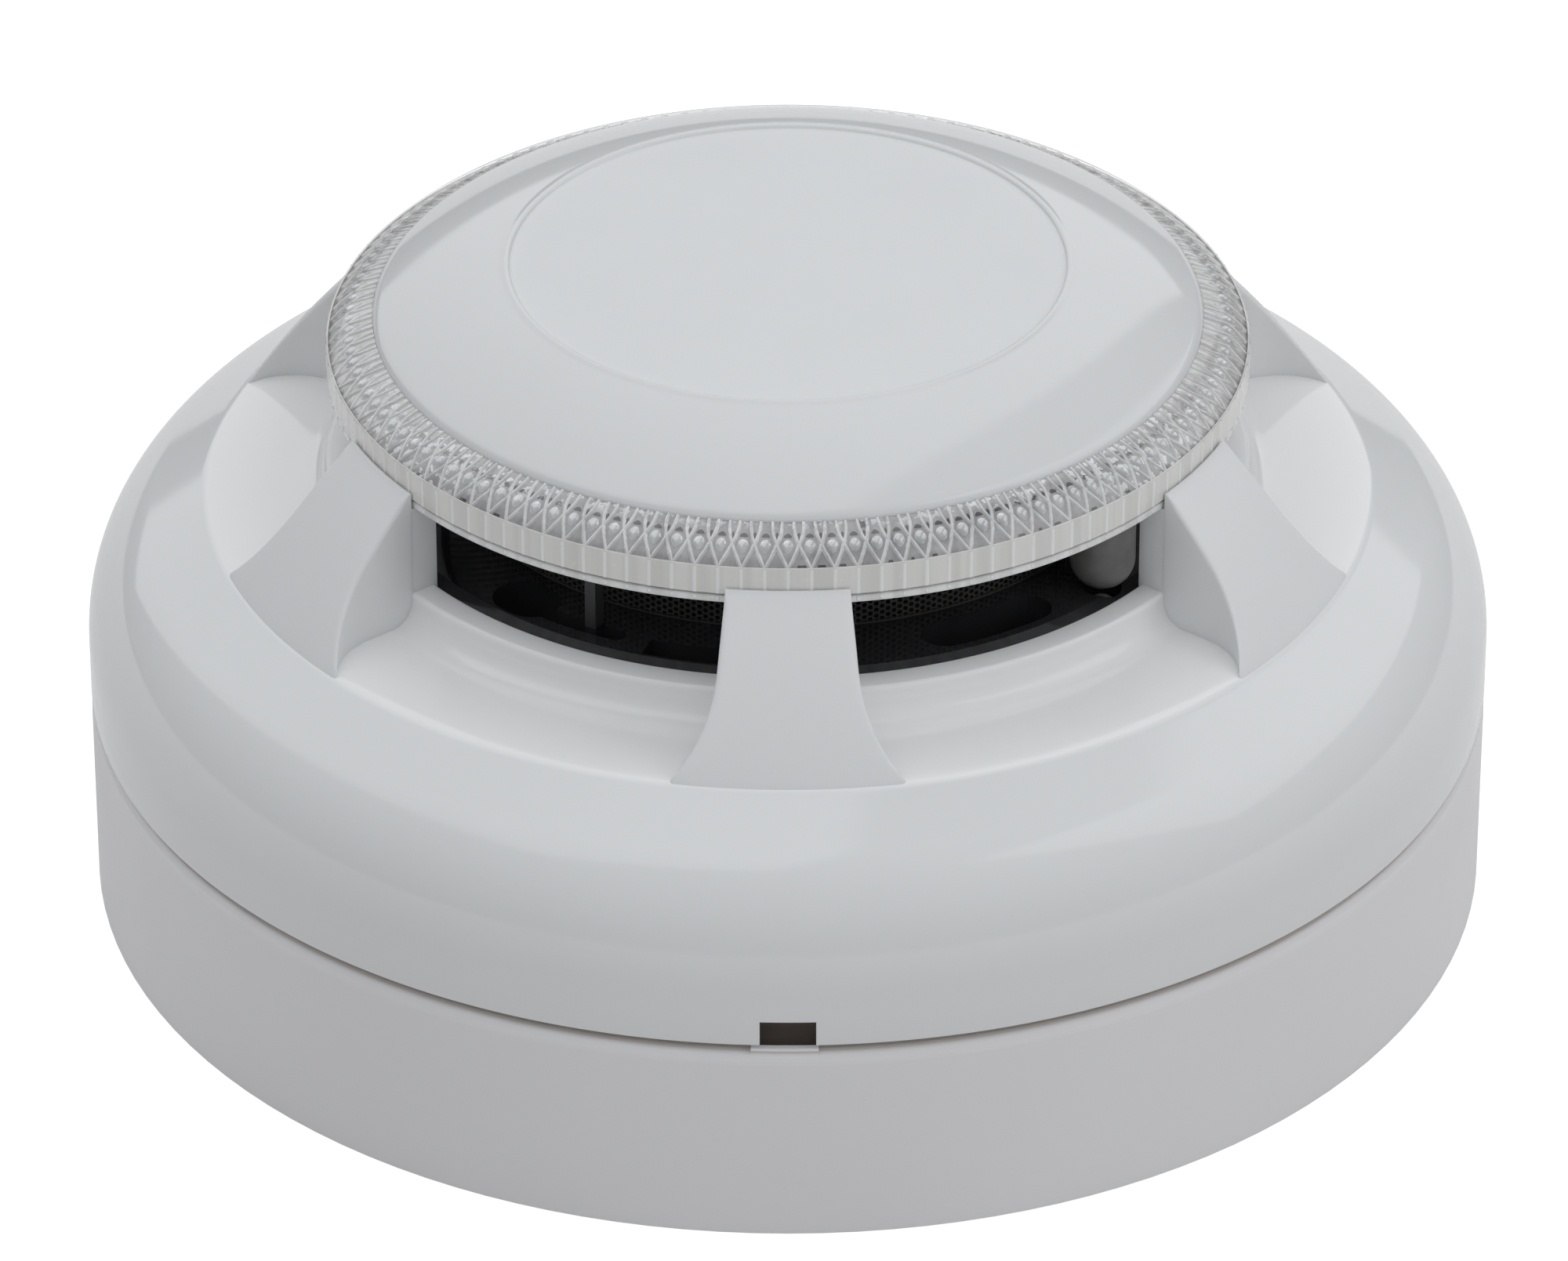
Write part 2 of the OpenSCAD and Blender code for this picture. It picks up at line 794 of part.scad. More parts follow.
// Section of a fin: convex outer face, thin top that hides the ring's flange, inner shoulder
module fin_section() {
    fin_top = head_z + 26;
    fin_foot_z = crease_z - 0.2;
    inner = lip_r - 0.1;
    polygon(concat(
        bulge([crease_r, fin_foot_z], [ring_r + 0.35, fin_top], -0.45),
        [[ring_r + 0.1, fin_top], [ring_r + 0.1, ring_z], [inner, ring_z], [inner, terrace_z - 1]]
    ));
}

// Plan of a fin: near-parallel sides that flare out at the foot
module fin_plan() {
    draft = 8.4;
    flare_r = 5.5;
    flare_x = 36.9;
    flare_y = 4.89;
    top_x = 30.8;
    flare_end = 68;
    centre = [flare_x - flare_r * sin(draft), flare_y + flare_r * cos(draft)];
    side = concat(
        [[top_x, flare_y - (flare_x - top_x) * tan(draft)]],
        arc(centre[0], centre[1], flare_r, 270 + draft, 270 + flare_end, 10)
    );
    polygon(concat(side, [for (i = [len(side) - 1:-1:0]) [side[i][0], -side[i][1]]]));
}

module fins() {
    pitch = 360 / fin_count;
    at_angles([for (k = [0:fin_count - 1]) k * pitch - 90])
        intersection() {
            translate([0, 0, terrace_z - 2])
                linear_extrude(20)
                    fin_plan();
            rotate([0, 0, -15])
                rotate_extrude(angle = 30, $fn = 180)
                    fin_section();
        }
}

module housing() {
    boss_top = terrace_z - shell_t + 0.6;
    color(white_colour)
        difference() {
            union() {
                rotate_extrude($fn = 180)
                    housing_profile();
                fins();
                at_angles(boss_angles)
                    translate([boss_r, 0, plate_z[1]])
                        cylinder(r = 3, h = boss_top - plate_z[1], $fn = 32);
            }
            translate([-notch_w / 2, -body_r - 1, head_z - 1])
                cube([notch_w, shell_t + 2, notch_h + 1]);
            at_angles(boss_angles)
                translate([boss_r, 0, plate_z[1] - 1])
                    cylinder(r = 1.4, h = 9, $fn = 32);
        }
}

module ring_profile() {
    flange_t = 0.7;
    wall = 1.1;
    band_z = [head_z + 25.5, head_z + 27.7];
    seat_z = cap_edge_z - 1;
    inner = screen_r + 0.6;
    polygon(concat(
        [[inner, ring_z], [ring_r - 0.4, ring_z], [ring_r - 0.4, ring_z + flange_t]],
        [[ring_r, band_z[0]]],
        bulge([ring_r, band_z[1]], [cap_r + 0.1, cap_edge_z], -0.25, 8),
        [[cap_r + 0.1, seat_z], [ring_r - wall, band_z[1] - 0.5]],
        [[ring_r - wall, ring_z + flange_t + 0.3], [inner, ring_z + flange_t + 0.3]]
    ));
}

module light_ring() {
    color([0.80, 0.84, 0.86, 0.45])
        rotate_extrude($fn = 180)
            ring_profile();
}

module cap_profile() {
    wall = 1.8;
    step = 0.15;
    skirt = [27.4, 29.2];
    skirt_z = ring_z + 1;
    polygon(concat(
        bulge([cap_r, cap_edge_z], [cap_disc_r + 0.4, cap_disc_z + step], -0.45, 8),
        [[cap_disc_r, cap_disc_z]],
        bulge([cap_disc_r, cap_disc_z], [0, cap_top_z], -0.15, 4),
        [[0, cap_top_z - wall], [cap_disc_r, cap_disc_z - wall], [skirt[0], cap_edge_z - 1.1]],
        [[skirt[0], skirt_z], [skirt[1], skirt_z], [skirt[1], cap_edge_z - 0.9], [cap_r, cap_edge_z - 0.9]]
    ));
}

module cap() {
    color(white_colour)
        rotate_extrude($fn = 180)
            cap_profile();
}

// ---- Nodes ---------------------------------------------------------------------------

mounting_base();
terminal_strips();
clamp_washers();
terminal_screws();
latch_spring();
lock_latch();
back_plate();
contact_blades();
contact_rivets();
housing_screws();
circuit_board();
board_screws();
microcontroller();
driver_chips();
capacitors();
chip_resistors();
shield_can();
indicator_leds();
light_pipes();
chamber_tray();
chamber_seal();
optical_block();
labyrinth();
infrared_emitter();
photodiode();
insect_screen();
chamber_roof();
housing();
light_ring();
cap();
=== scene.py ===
"""Visual model of an optical smoke detector on its mounting base.

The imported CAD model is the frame. The shells that show most are rebuilt here as finer meshes in
the same places, and every CAD node that stays gets a procedural material. Shapes and patterns
are given in millimetres. The stage, the light and the camera are in metres.
"""

import math
import random

import bmesh
import bpy
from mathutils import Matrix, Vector


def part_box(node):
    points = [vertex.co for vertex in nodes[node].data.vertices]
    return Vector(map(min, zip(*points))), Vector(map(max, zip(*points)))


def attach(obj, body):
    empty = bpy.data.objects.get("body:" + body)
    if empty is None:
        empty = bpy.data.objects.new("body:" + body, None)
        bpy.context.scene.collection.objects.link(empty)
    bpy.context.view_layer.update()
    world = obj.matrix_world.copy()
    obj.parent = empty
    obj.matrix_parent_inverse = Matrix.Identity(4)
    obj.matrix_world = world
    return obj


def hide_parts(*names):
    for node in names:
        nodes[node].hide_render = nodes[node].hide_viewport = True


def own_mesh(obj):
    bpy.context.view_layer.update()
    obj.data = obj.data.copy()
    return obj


MM = 0.001

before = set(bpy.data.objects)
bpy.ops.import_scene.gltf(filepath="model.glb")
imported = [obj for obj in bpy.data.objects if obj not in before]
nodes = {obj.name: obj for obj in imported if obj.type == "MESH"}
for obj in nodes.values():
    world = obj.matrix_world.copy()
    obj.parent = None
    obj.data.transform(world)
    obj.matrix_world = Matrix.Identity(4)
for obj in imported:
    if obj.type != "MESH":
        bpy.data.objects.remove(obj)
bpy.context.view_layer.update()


def low(node):
    """Lowest corner of a CAD node, in millimetres."""
    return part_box(node)[0] / MM


def high(node):
    """Highest corner of a CAD node, in millimetres."""
    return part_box(node)[1] / MM


# ---- Sizes, from the CAD frame --------------------------------------------------------

BODY_R = high("housing").x
HEAD_Z = low("housing").z  # underside of the housing's skirt
RIM_Z = HEAD_Z - 0.6  # top of the base's rim
TRAY_Z = low("insect_screen").z  # floor of the smoke chamber
RING_Z = low("light_ring").z  # underside of the light ring
RING_R = high("light_ring").x
CAP_R = high("cap").x
CAP_TOP = high("cap").z
SCREEN_R = high("insect_screen").x

# The housing, from its skirt inward: shoulder, crease, terrace and the lip of the window
SHELL_T = 2.0
SHOULDER_R = 10.0
SHOULDER_Z = HEAD_Z + 4.3
SHOULDER_END = 57.8  # degrees at which the shoulder's arc ends
CREASE_R = 42.3
CREASE_Z = HEAD_Z + 15.3
TERRACE_Z = HEAD_Z + 15.5
LIP_R = 31.3
LIP_TOP = HEAD_Z + 17.9
NOTCH_W = 3.9
NOTCH_H = 2.0
FIN_COUNT = 6
FIN_TOP = HEAD_Z + 26.0

# The cap, and the ring's upright band with its ticks
CAP_EDGE_Z = HEAD_Z + 29.7
CAP_DISC_R = 20.0
CAP_DISC_Z = HEAD_Z + 33.3
BAND_Z = (HEAD_Z + 25.5, HEAD_Z + 27.7)
RING_CELLS = 128
RING_CELL = 360 / RING_CELLS  # degrees from tick to tick


# ---- Outlines and meshes ---------------------------------------------------------------


def arc(cx, cz, r, a0, a1, steps=8):
    """Points of an arc about (cx, cz) from angle a0 to a1, in degrees."""
    angles = [math.radians(a0 + (a1 - a0) * i / steps) for i in range(steps + 1)]
    return [(cx + r * math.cos(a), cz + r * math.sin(a)) for a in angles]


def bulge(p, q, rise, steps=10):
    """Points from p to q along a curve that stands `rise` to the left of the chord."""
    dx, dz = q[0] - p[0], q[1] - p[1]
    length = math.hypot(dx, dz)
    points = []
    for i in range(steps + 1):
        t = i / steps
        lift = rise * 4 * t * (1 - t)
        points.append((p[0] + dx * t - dz / length * lift, p[1] + dz * t + dx / length * lift))
    return points


def corner_curve(a, corner, b, t):
    """Point at t, from 0 to 1, on the curve that rounds a corner between the points a and b."""
    return tuple(
        (1 - t) ** 2 * a[j] + 2 * t * (1 - t) * corner[j] + t * t * b[j] for j in (0, 1)
    )


def polar(r, degrees, z):
    a = math.radians(degrees)
    return (r * math.cos(a), r * math.sin(a), z)


class Build:
    """Collects the vertices and faces of one piece, with a material number for each face."""

    def __init__(self):
        self.verts = []
        self.faces = []
        self.slots = []

    def add(self, verts, faces, slot=0):
        start = len(self.verts)
        self.verts += verts
        self.faces += [[start + i for i in face] for face in faces]
        self.slots += [slot] * len(faces)

    def lathe(self, profile, segments=360, slot=0, closed=True):
        """Turns a profile of (r, z) points about Z. Points on the axis become one vertex."""
        rows, verts = [], []
        for r, z in profile:
            if r < 1e-6:
                rows.append([len(verts)] * segments)
                verts.append((0, 0, z))
                continue
            rows.append([len(verts) + k for k in range(segments)])
            verts += [polar(r, 360 * k / segments, z) for k in range(segments)]
        faces = []
        last = len(rows) if closed else len(rows) - 1
        for i in range(last):
            a, b = rows[i], rows[(i + 1) % len(rows)]
            for k in range(segments):
                n = (k + 1) % segments
                quad = [a[k], a[n], b[n], b[k]]
                face = [v for j, v in enumerate(quad) if v != quad[j - 1]]
                if len(face) > 2:
                    faces.append(face)
        self.add(verts, faces, slot)

    def loft(self, loops, slot=0, caps=True):
        """Joins closed loops that have the same number of points."""
        count = len(loops[0])
        verts = [p for loop in loops for p in loop]
        faces = []
        for i in range(len(loops) - 1):
            for k in range(count):
                n = (k + 1) % count
                a, b = i * count, (i + 1) * count
                faces.append([a + k, a + n, b + n, b + k])
        if caps:
            faces.append(list(range(count))[::-1])
            faces.append([(len(loops) - 1) * count + k for k in range(count)])
        self.add(verts, faces, slot)

    def strip(self, rows, slot=0):
        """Joins open rows that have the same number of points."""
        count = len(rows[0])
        verts = [p for row in rows for p in row]
        faces = []
        for i in range(len(rows) - 1):
            for k in range(count - 1):
                a = i * count + k
                faces.append([a, a + 1, a + count + 1, a + count])
        self.add(verts, faces, slot)

    def piece(self, name, body, materials, sharp=35, replaced=(), merge=False):
        """Makes the mesh object, smooth but for edges sharper than `sharp` degrees."""
        mesh = bpy.data.meshes.new(name)
        mesh.from_pydata([Vector(v) * MM for v in self.verts], [], self.faces)
        mesh.polygons.foreach_set("material_index", self.slots)
        bm = bmesh.new()
        bm.from_mesh(mesh)
        if merge:
            bmesh.ops.remove_doubles(bm, verts=bm.verts, dist=1e-7)
        bmesh.ops.recalc_face_normals(bm, faces=bm.faces)
        bm.to_mesh(mesh)
        bm.free()
        mesh.shade_smooth()
        mesh.set_sharp_from_angle(angle=math.radians(sharp))
        obj = bpy.data.objects.new(name, mesh)
        bpy.context.scene.collection.objects.link(obj)
        for material in materials:
            mesh.materials.append(material)
        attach(obj, body)
        if replaced:
            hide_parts(*replaced)
        return obj


def cut_box(obj, corner_low, corner_high):
    """Cuts a box, given by two corners in millimetres, out of a closed mesh."""
    bm = bmesh.new()
    bmesh.ops.create_cube(bm, size=1)
    centre = (Vector(corner_low) + Vector(corner_high)) / 2
    size = Vector(corner_high) - Vector(corner_low)
    for v in bm.verts:
        v.co = Vector([(centre[i] + v.co[i] * size[i]) * MM for i in range(3)])
    mesh = bpy.data.meshes.new("cutter")
    bm.to_mesh(mesh)
    bm.free()
    cutter = bpy.data.objects.new("cutter", mesh)
    bpy.context.scene.collection.objects.link(cutter)
    modifier = obj.modifiers.new("cut", "BOOLEAN")
    modifier.object = cutter
    modifier.solver = "EXACT"
    graph = bpy.context.evaluated_depsgraph_get()
    cut = bpy.data.meshes.new_from_object(obj.evaluated_get(graph))
    obj.modifiers.clear()
    obj.data = cut
    bpy.data.objects.remove(cutter)
    cut.set_sharp_from_angle(angle=math.radians(35))


# ---- Materials -------------------------------------------------------------------------


class Shader:
    """A material with one Principled shader, and short calls for the nodes that drive it."""

    def __init__(self, name, **constants):
        self.material = bpy.data.materials.new(name)
        self.material.use_nodes = True
        self.tree = self.material.node_tree
        self.bsdf = self.tree.nodes["Principled BSDF"]
        self.coords = self.tree.nodes.new("ShaderNodeTexCoord").outputs["Object"]
        for socket, value in constants.items():
            self.bsdf.inputs[socket.replace("_", " ")].default_value = value

    def node(self, kind, inputs=None, **settings):
        made = self.tree.nodes.new(kind)
        for key, value in settings.items():
            setattr(made, key, value)
        for key, value in (inputs or {}).items():
            if isinstance(value, bpy.types.NodeSocket):
                self.tree.links.new(value, made.inputs[key])
            else:
                made.inputs[key].default_value = value
        return made

    def drive(self, socket, value):
        self.tree.links.new(value, self.bsdf.inputs[socket])

    def noise(self, size, detail=3.0, roughness=0.55, stretch=(1, 1, 1)):
        """Noise whose blobs are about `size` millimetres, stretched along the axes."""
        scaled = self.node(
            "ShaderNodeMapping", {"Vector": self.coords, "Scale": [1 / s for s in stretch]}
        )
        made = self.node(
            "ShaderNodeTexNoise",
            {
                "Vector": scaled.outputs["Vector"],
                "Scale": 1 / (size * MM),
                "Detail": detail,
                "Roughness": roughness,
            },
        )
        return made.outputs["Fac"]

    def cells(self, size, feature="F1", randomness=1.0):
        """Cell pattern whose cells are about `size` millimetres; gives the distance."""
        made = self.node(
            "ShaderNodeTexVoronoi",
            {"Vector": self.coords, "Scale": 1 / (size * MM), "Randomness": randomness},
            feature=feature,
        )
        return made.outputs["Distance"]

    def spread(self, value, to_low, to_high, from_low=0.3, from_high=0.7):
        """Maps a value's range to another, without going past its ends."""
        made = self.node(
            "ShaderNodeMapRange",
            {
                "Value": value,
                "From Min": from_low,
                "From Max": from_high,
                "To Min": to_low,
                "To Max": to_high,
            },
        )
        return made.outputs["Result"]

    def maths(self, operation, a, b=0.0):
        made = self.node("ShaderNodeMath", {0: a, 1: b}, operation=operation)
        return made.outputs["Value"]

    def blend(self, factor, one, two):
        """Colour between `one` and `two`, each a colour or a socket."""
        made = self.node("ShaderNodeMix", data_type="RGBA")
        for index, value in ((0, factor), (6, one), (7, two)):
            if isinstance(value, bpy.types.NodeSocket):
                self.tree.links.new(value, made.inputs[index])
            else:
                made.inputs[index].default_value = value if index == 0 else (*value, 1)
        return made.outputs[2]

    def bump(self, height, depth, normal=None):
        """Relief of `depth` millimetres from a height between 0 and 1."""
        inputs = {"Height": height, "Distance": depth * MM}
        if normal is not None:
            inputs["Normal"] = normal
        return self.node("ShaderNodeBump", inputs).outputs["Normal"]

    def around(self):
        """Angle about the object's axis, from 0 to 1."""
        parts = self.node("ShaderNodeSeparateXYZ", {"Vector": self.coords})
        angle = self.maths("ARCTAN2", parts.outputs["Y"], parts.outputs["X"])
        return self.maths("ADD", self.maths("DIVIDE", angle, math.tau), 0.5)


def moulded(name, light, dark, gloss, grain, grain_depth, zone=None, **constants):
    """Moulded plastic: slow colour drift, uneven gloss, fine grain and faint flow marks.

    `zone` holds a second colour, and the lowest and highest place where it shows.
    """
    s = Shader(name, **constants)
    colour = s.blend(s.spread(s.noise(26, detail=2), 0, 1), light, dark)
    if zone:
        second, start, end = zone
        height = s.node("ShaderNodeSeparateXYZ", {"Vector": s.coords}).outputs["Z"]
        over = s.spread(height, 0, 1, start * MM, (start + 0.2) * MM)
        under = s.spread(height, 1, 0, end * MM, (end + 0.05) * MM)
        colour = s.blend(s.maths("MULTIPLY", over, under), colour, second)
    s.drive("Base Color", colour)
    handling = s.noise(7, detail=5, roughness=0.65)
    s.drive("Roughness", s.spread(handling, gloss[0], gloss[1]))
    fine = s.bump(s.noise(grain, detail=4, roughness=0.6), grain_depth)
    flow = s.bump(s.noise(9, detail=1), 0.004, normal=fine)
    s.drive("Normal", flow)
    return s.material


def metal(name, light, dark, gloss, brushed=(1, 1, 1), size=1.2):
    """Plated or rolled metal: tarnish drift, brush lines and small scratches."""
    s = Shader(name, Metallic=1.0)
    tarnish = s.noise(5, detail=4, roughness=0.7)
    s.drive("Base Color", s.blend(s.spread(tarnish, 0, 1), light, dark))
    lines = s.noise(size, detail=5, roughness=0.7, stretch=brushed)
    s.drive("Roughness", s.spread(lines, gloss[0], gloss[1]))
    s.drive("Normal", s.bump(lines, 0.01))
    return s.material


# How far light goes into the white plastic
WHITE_DEPTH = {
    "Subsurface_Weight": 0.12,
    "Subsurface_Radius": (1.0, 0.85, 0.7),
    "Subsurface_Scale": 0.0012,
}


def glossy_white(name, light, dark, **extra):
    gloss = (0.05, 0.11)
    return moulded(
        name, light, dark, gloss, grain=0.5, grain_depth=0.0006, IOR=1.5, **WHITE_DEPTH, **extra
    )


def housing_white():
    """Glossy shell. The terrace and the lip are painted a shade paler than the dome around them:
    painted light, for the light that comes through the clear ring onto them.
    """
    # painted light: a paler white on the terrace and the lip
    painted_light_zone = ((0.950, 0.955, 0.955), CREASE_Z - 0.1, FIN_TOP)
    return glossy_white("housing_white", (0.855, 0.867, 0.875), (0.838, 0.848, 0.856), zone=painted_light_zone)


# The cap's white is a shade darker than the housing's: painted shade that tones down the cap, whose
# slope faces the light from above.
def cap_white():
    return glossy_white("cap_white", (0.805, 0.816, 0.824), (0.789, 0.798, 0.806))


# The disc is toned a shade darker too: painted shade on this face, which faces the light from
# above.
def disc_white():
    return moulded(
        "disc_white",
        (0.835, 0.846, 0.853),
        (0.818, 0.828, 0.836),
        (0.42, 0.52),
        grain=0.22,
        grain_depth=0.006,
        **WHITE_DEPTH,
    )


def fin_white():
    return moulded(
        "fin_white",
        (0.880, 0.888, 0.899),
        (0.860, 0.868, 0.879),
        (0.36, 0.46),
        grain=0.22,
        grain_depth=0.004,
        **(WHITE_DEPTH | {"Subsurface_Weight": 0.15}),
    )


def base_white():
    """Satin base. The top of its rim, in the seam under the skirt, is painted a darker warm brown:
    painted shade of the seam.
    """
    return moulded(
        "base_white",
        (0.880, 0.871, 0.888),
        (0.861, 0.850, 0.867),
        (0.32, 0.42),
        # painted shade: a darker warm brown on the top of the rim, in the seam under the skirt
        zone=((0.62, 0.57, 0.53), RIM_Z - 0.25, RIM_Z + 0.01),
        grain=0.25,
        grain_depth=0.004,
        **(WHITE_DEPTH | {"Subsurface_Radius": (1.0, 0.82, 0.72)}),
    )


def clear_skin():
    """Thin clear skin: lets light straight through, and mirrors more as it is seen edge-on."""
    s = Shader("clear_skin")
    s.tree.nodes.remove(s.bsdf)
    ripple = s.bump(s.noise(1.6, detail=2), 0.006)
    clear = s.node("ShaderNodeBsdfTransparent", {"Color": (0.97, 0.975, 0.98, 1)})
    mirror = s.node("ShaderNodeBsdfGlossy", {"Roughness": 0.04, "Normal": ripple})
    facing = s.node("ShaderNodeLayerWeight", {"Blend": 0.5}).outputs["Facing"]
    share = s.maths("ADD", s.maths("MULTIPLY", s.maths("POWER", facing, 5.0), 0.9), 0.04)
    mix = s.node(
        "ShaderNodeMixShader", {0: share, 1: clear.outputs["BSDF"], 2: mirror.outputs["BSDF"]}
    )
    output = next(n for n in s.tree.nodes if n.type == "OUTPUT_MATERIAL")
    s.tree.links.new(mix.outputs["Shader"], output.inputs["Surface"])
    return s.material


def prism_clear(name, light, dark, gloss, mottle=0.45, index=1.5, painted_reflection_share=0.0):
    """Inner face of the clear ring: streaks that run up it, and a share of finer mottling.

    Like cut glass, it mirrors the light inside itself when it is seen edge-on. This is painted into
    its colour: by a given share, the pattern gives way to fine pale streaks of painted reflection,
    with painted white glints just before that.
    """
    s = Shader(name, Coat_Weight=0.6, Coat_Roughness=0.05, IOR=index)
    turn = s.maths("MULTIPLY", s.around(), RING_CELLS)
    streak = s.node(
        "ShaderNodeTexNoise", {"W": turn, "Scale": 1.0, "Detail": 3.0}, noise_dimensions="1D"
    ).outputs["Fac"]
    cloud = s.noise(0.7, detail=3)
    mixed = s.maths(
        "ADD", s.maths("MULTIPLY", streak, 1 - mottle), s.maths("MULTIPLY", cloud, mottle)
    )
    colour = s.blend(s.spread(mixed, 0, 1, 0.36, 0.62), dark, light)
    if painted_reflection_share:
        # painted reflection: pale streaks that take over the pattern when the face is seen edge-on
        fine = s.node(
            "ShaderNodeTexNoise", {"W": turn, "Scale": 3.0, "Detail": 2.0}, noise_dimensions="1D"
        ).outputs["Fac"]
        painted_reflection_streaks = s.blend(s.spread(fine, 0, 1, 0.38, 0.62), (0.55, 0.52, 0.495), (0.84, 0.82, 0.79))
        facing = s.node("ShaderNodeLayerWeight", {"Blend": 0.5}).outputs["Facing"]
        colour = s.blend(s.spread(facing, 0, painted_reflection_share, 0.24, 0.44), colour, painted_reflection_streaks)
        # painted glints: white flecks just before the face turns edge-on
        painted_glint = s.maths("MULTIPLY", s.spread(s.noise(0.55, detail=2), 0, 1, 0.53, 0.58), painted_reflection_share)
        starts = s.spread(facing, 0, 1, 0.20, 0.27)
        ends = s.spread(facing, 1, 0, 0.40, 0.50)
        painted_glint = s.maths("MULTIPLY", painted_glint, s.maths("MULTIPLY", starts, ends))
        colour = s.blend(painted_glint, colour, (0.97, 0.97, 0.98))
    s.drive("Base Color", colour)
    s.drive("Roughness", s.spread(cloud, gloss[0], gloss[1]))
    s.drive("Normal", s.bump(cloud, 0.02 * mottle))
    return s.material


def black_gloss():
    """Polished floor of the chamber; what stands up from it is duller."""
    s = Shader("chamber_gloss_black", IOR=1.8)
    tone = s.spread(s.noise(8), 0, 1)
    s.drive("Base Color", s.blend(tone, (0.020, 0.020, 0.0225), (0.030, 0.030, 0.033)))
    height = s.node("ShaderNodeSeparateXYZ", {"Vector": s.coords}).outputs["Z"]
    dull = s.spread(height, 0, 1, (TRAY_Z + 0.2) * MM, (TRAY_Z + 0.3) * MM)
    polish = s.spread(s.noise(2.5, detail=6, roughness=0.7), 0.03, 0.08)
    s.drive("Roughness", s.maths("ADD", polish, s.maths("MULTIPLY", dull, 0.6)))
    s.drive("Normal", s.bump(s.noise(0.9, detail=3), 0.001))
    return s.material


def plain(name, tint, gloss, relief, **constants):
    """Material whose colour, gloss and relief each come from one noise. Sizes are in millimetres.

    `tint` is (size, one colour, other colour), `gloss` is (size, detail, lowest and highest
    roughness), and `relief` is (size, detail, depth).
    """
    s = Shader(name, **constants)
    s.drive("Base Color", s.blend(s.spread(s.noise(tint[0]), 0, 1), tint[1], tint[2]))
    s.drive("Roughness", s.spread(s.noise(gloss[0], detail=gloss[1]), gloss[2], gloss[3]))
    s.drive("Normal", s.bump(s.noise(relief[0], detail=relief[1]), relief[2]))
    return s.material


def black_matt():
    tint = (6, (0.012, 0.012, 0.013), (0.024, 0.024, 0.026))
    return plain("chamber_matt_black", tint, (1.5, 4, 0.55, 0.75), (0.25, 4, 0.02))


def mesh_black():
    tint = (3, (0.075, 0.071, 0.066), (0.105, 0.100, 0.094))
    return plain("mesh_black", tint, (0.4, 4, 0.32, 0.5), (0.12, 3, 0.01), Metallic=0.35)


def frosted():
    return plain(
        "frosted_pipe",
        (1.5, (0.24, 0.235, 0.23), (0.18, 0.176, 0.172)),
        (0.5, 4, 0.35, 0.5),
        (0.15, 3, 0.008),
        Subsurface_Weight=0.5,
        Subsurface_Radius=(1.0, 0.95, 0.9),
        Subsurface_Scale=0.003,
        Transmission_Weight=0.25,
        IOR=1.49,
    )


def solder_mask():
    """Green board: copper tracks show as slightly raised, lighter lines under the resist."""
    s = Shader("solder_mask", Coat_Weight=0.4, Coat_Roughness=0.15)
    cells = s.cells(3.4, feature="DISTANCE_TO_EDGE", randomness=0.8)
    track = s.spread(cells, 1, 0, 0.06, 0.09)
    weave = s.noise(0.5, detail=2)
    ground = s.blend(s.spread(weave, 0, 1), (0.010, 0.085, 0.035), (0.014, 0.105, 0.045))
    s.drive("Base Color", s.blend(track, ground, (0.03, 0.20, 0.09)))
    s.drive("Roughness", s.spread(weave, 0.3, 0.42))
    s.drive("Normal", s.bump(s.maths("ADD", track, s.maths("MULTIPLY", weave, 0.3)), 0.03))
    return s.material


def chip_black():
    tint = (1.2, (0.018, 0.018, 0.019), (0.03, 0.03, 0.031))
    return plain("chip_black", tint, (0.3, 4, 0.5, 0.7), (0.08, 4, 0.012))


def capacitor_can():
    """Dark sleeve with a bare aluminium top."""
    s = Shader("capacitor_can")
    top_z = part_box("capacitors")[1].z
    height = s.node("ShaderNodeSeparateXYZ", {"Vector": s.coords}).outputs["Z"]
    is_top = s.spread(height, 0, 1, top_z - 0.35 * MM, top_z - 0.3 * MM)
    sleeve = s.blend(s.spread(s.noise(2), 0, 1), (0.012, 0.018, 0.06), (0.02, 0.03, 0.085))
    s.drive("Base Color", s.blend(is_top, sleeve, (0.62, 0.62, 0.63)))
    s.drive("Metallic", is_top)
    s.drive("Roughness", s.spread(s.noise(0.8, detail=4), 0.25, 0.4))
    s.drive("Normal", s.bump(s.noise(0.5, detail=3), 0.01))
    return s.material


def ceramic():
    tint = (0.9, (0.30, 0.24, 0.17), (0.42, 0.35, 0.26))
    return plain("chip_ceramic", tint, (0.2, 4, 0.45, 0.65), (0.1, 3, 0.01))


def epoxy(name, light, dark, transmission):
    """Clear or tinted resin of a lamp, the emitter or the photodiode."""
    tint = (1.4, light, dark)
    clear = {"Transmission_Weight": transmission, "IOR": 1.53}
    return plain(name, tint, (0.6, 3, 0.05, 0.14), (0.9, 2, 0.006), **clear)


def foam():
    s = Shader("seal_foam")
    pores = s.cells(0.5)
    depth = s.spread(pores, 0, 1, 0.1, 0.6)
    s.drive("Base Color", s.blend(depth, (0.02, 0.02, 0.02), (0.06, 0.06, 0.062)))
    s.drive("Roughness", s.spread(s.noise(0.6), 0.8, 0.95))
    s.drive("Normal", s.bump(pores, 0.15))
    return s.material


def latch_notch_shade():
    # The latch's warm brown is painted shade: the dim, warm light inside the notch in front of it.
    tint = (3, (0.28, 0.23, 0.20), (0.23, 0.19, 0.165))
    return plain("latch_notch_shade", tint, (1.2, 4, 0.35, 0.5), (0.2, 4, 0.006))


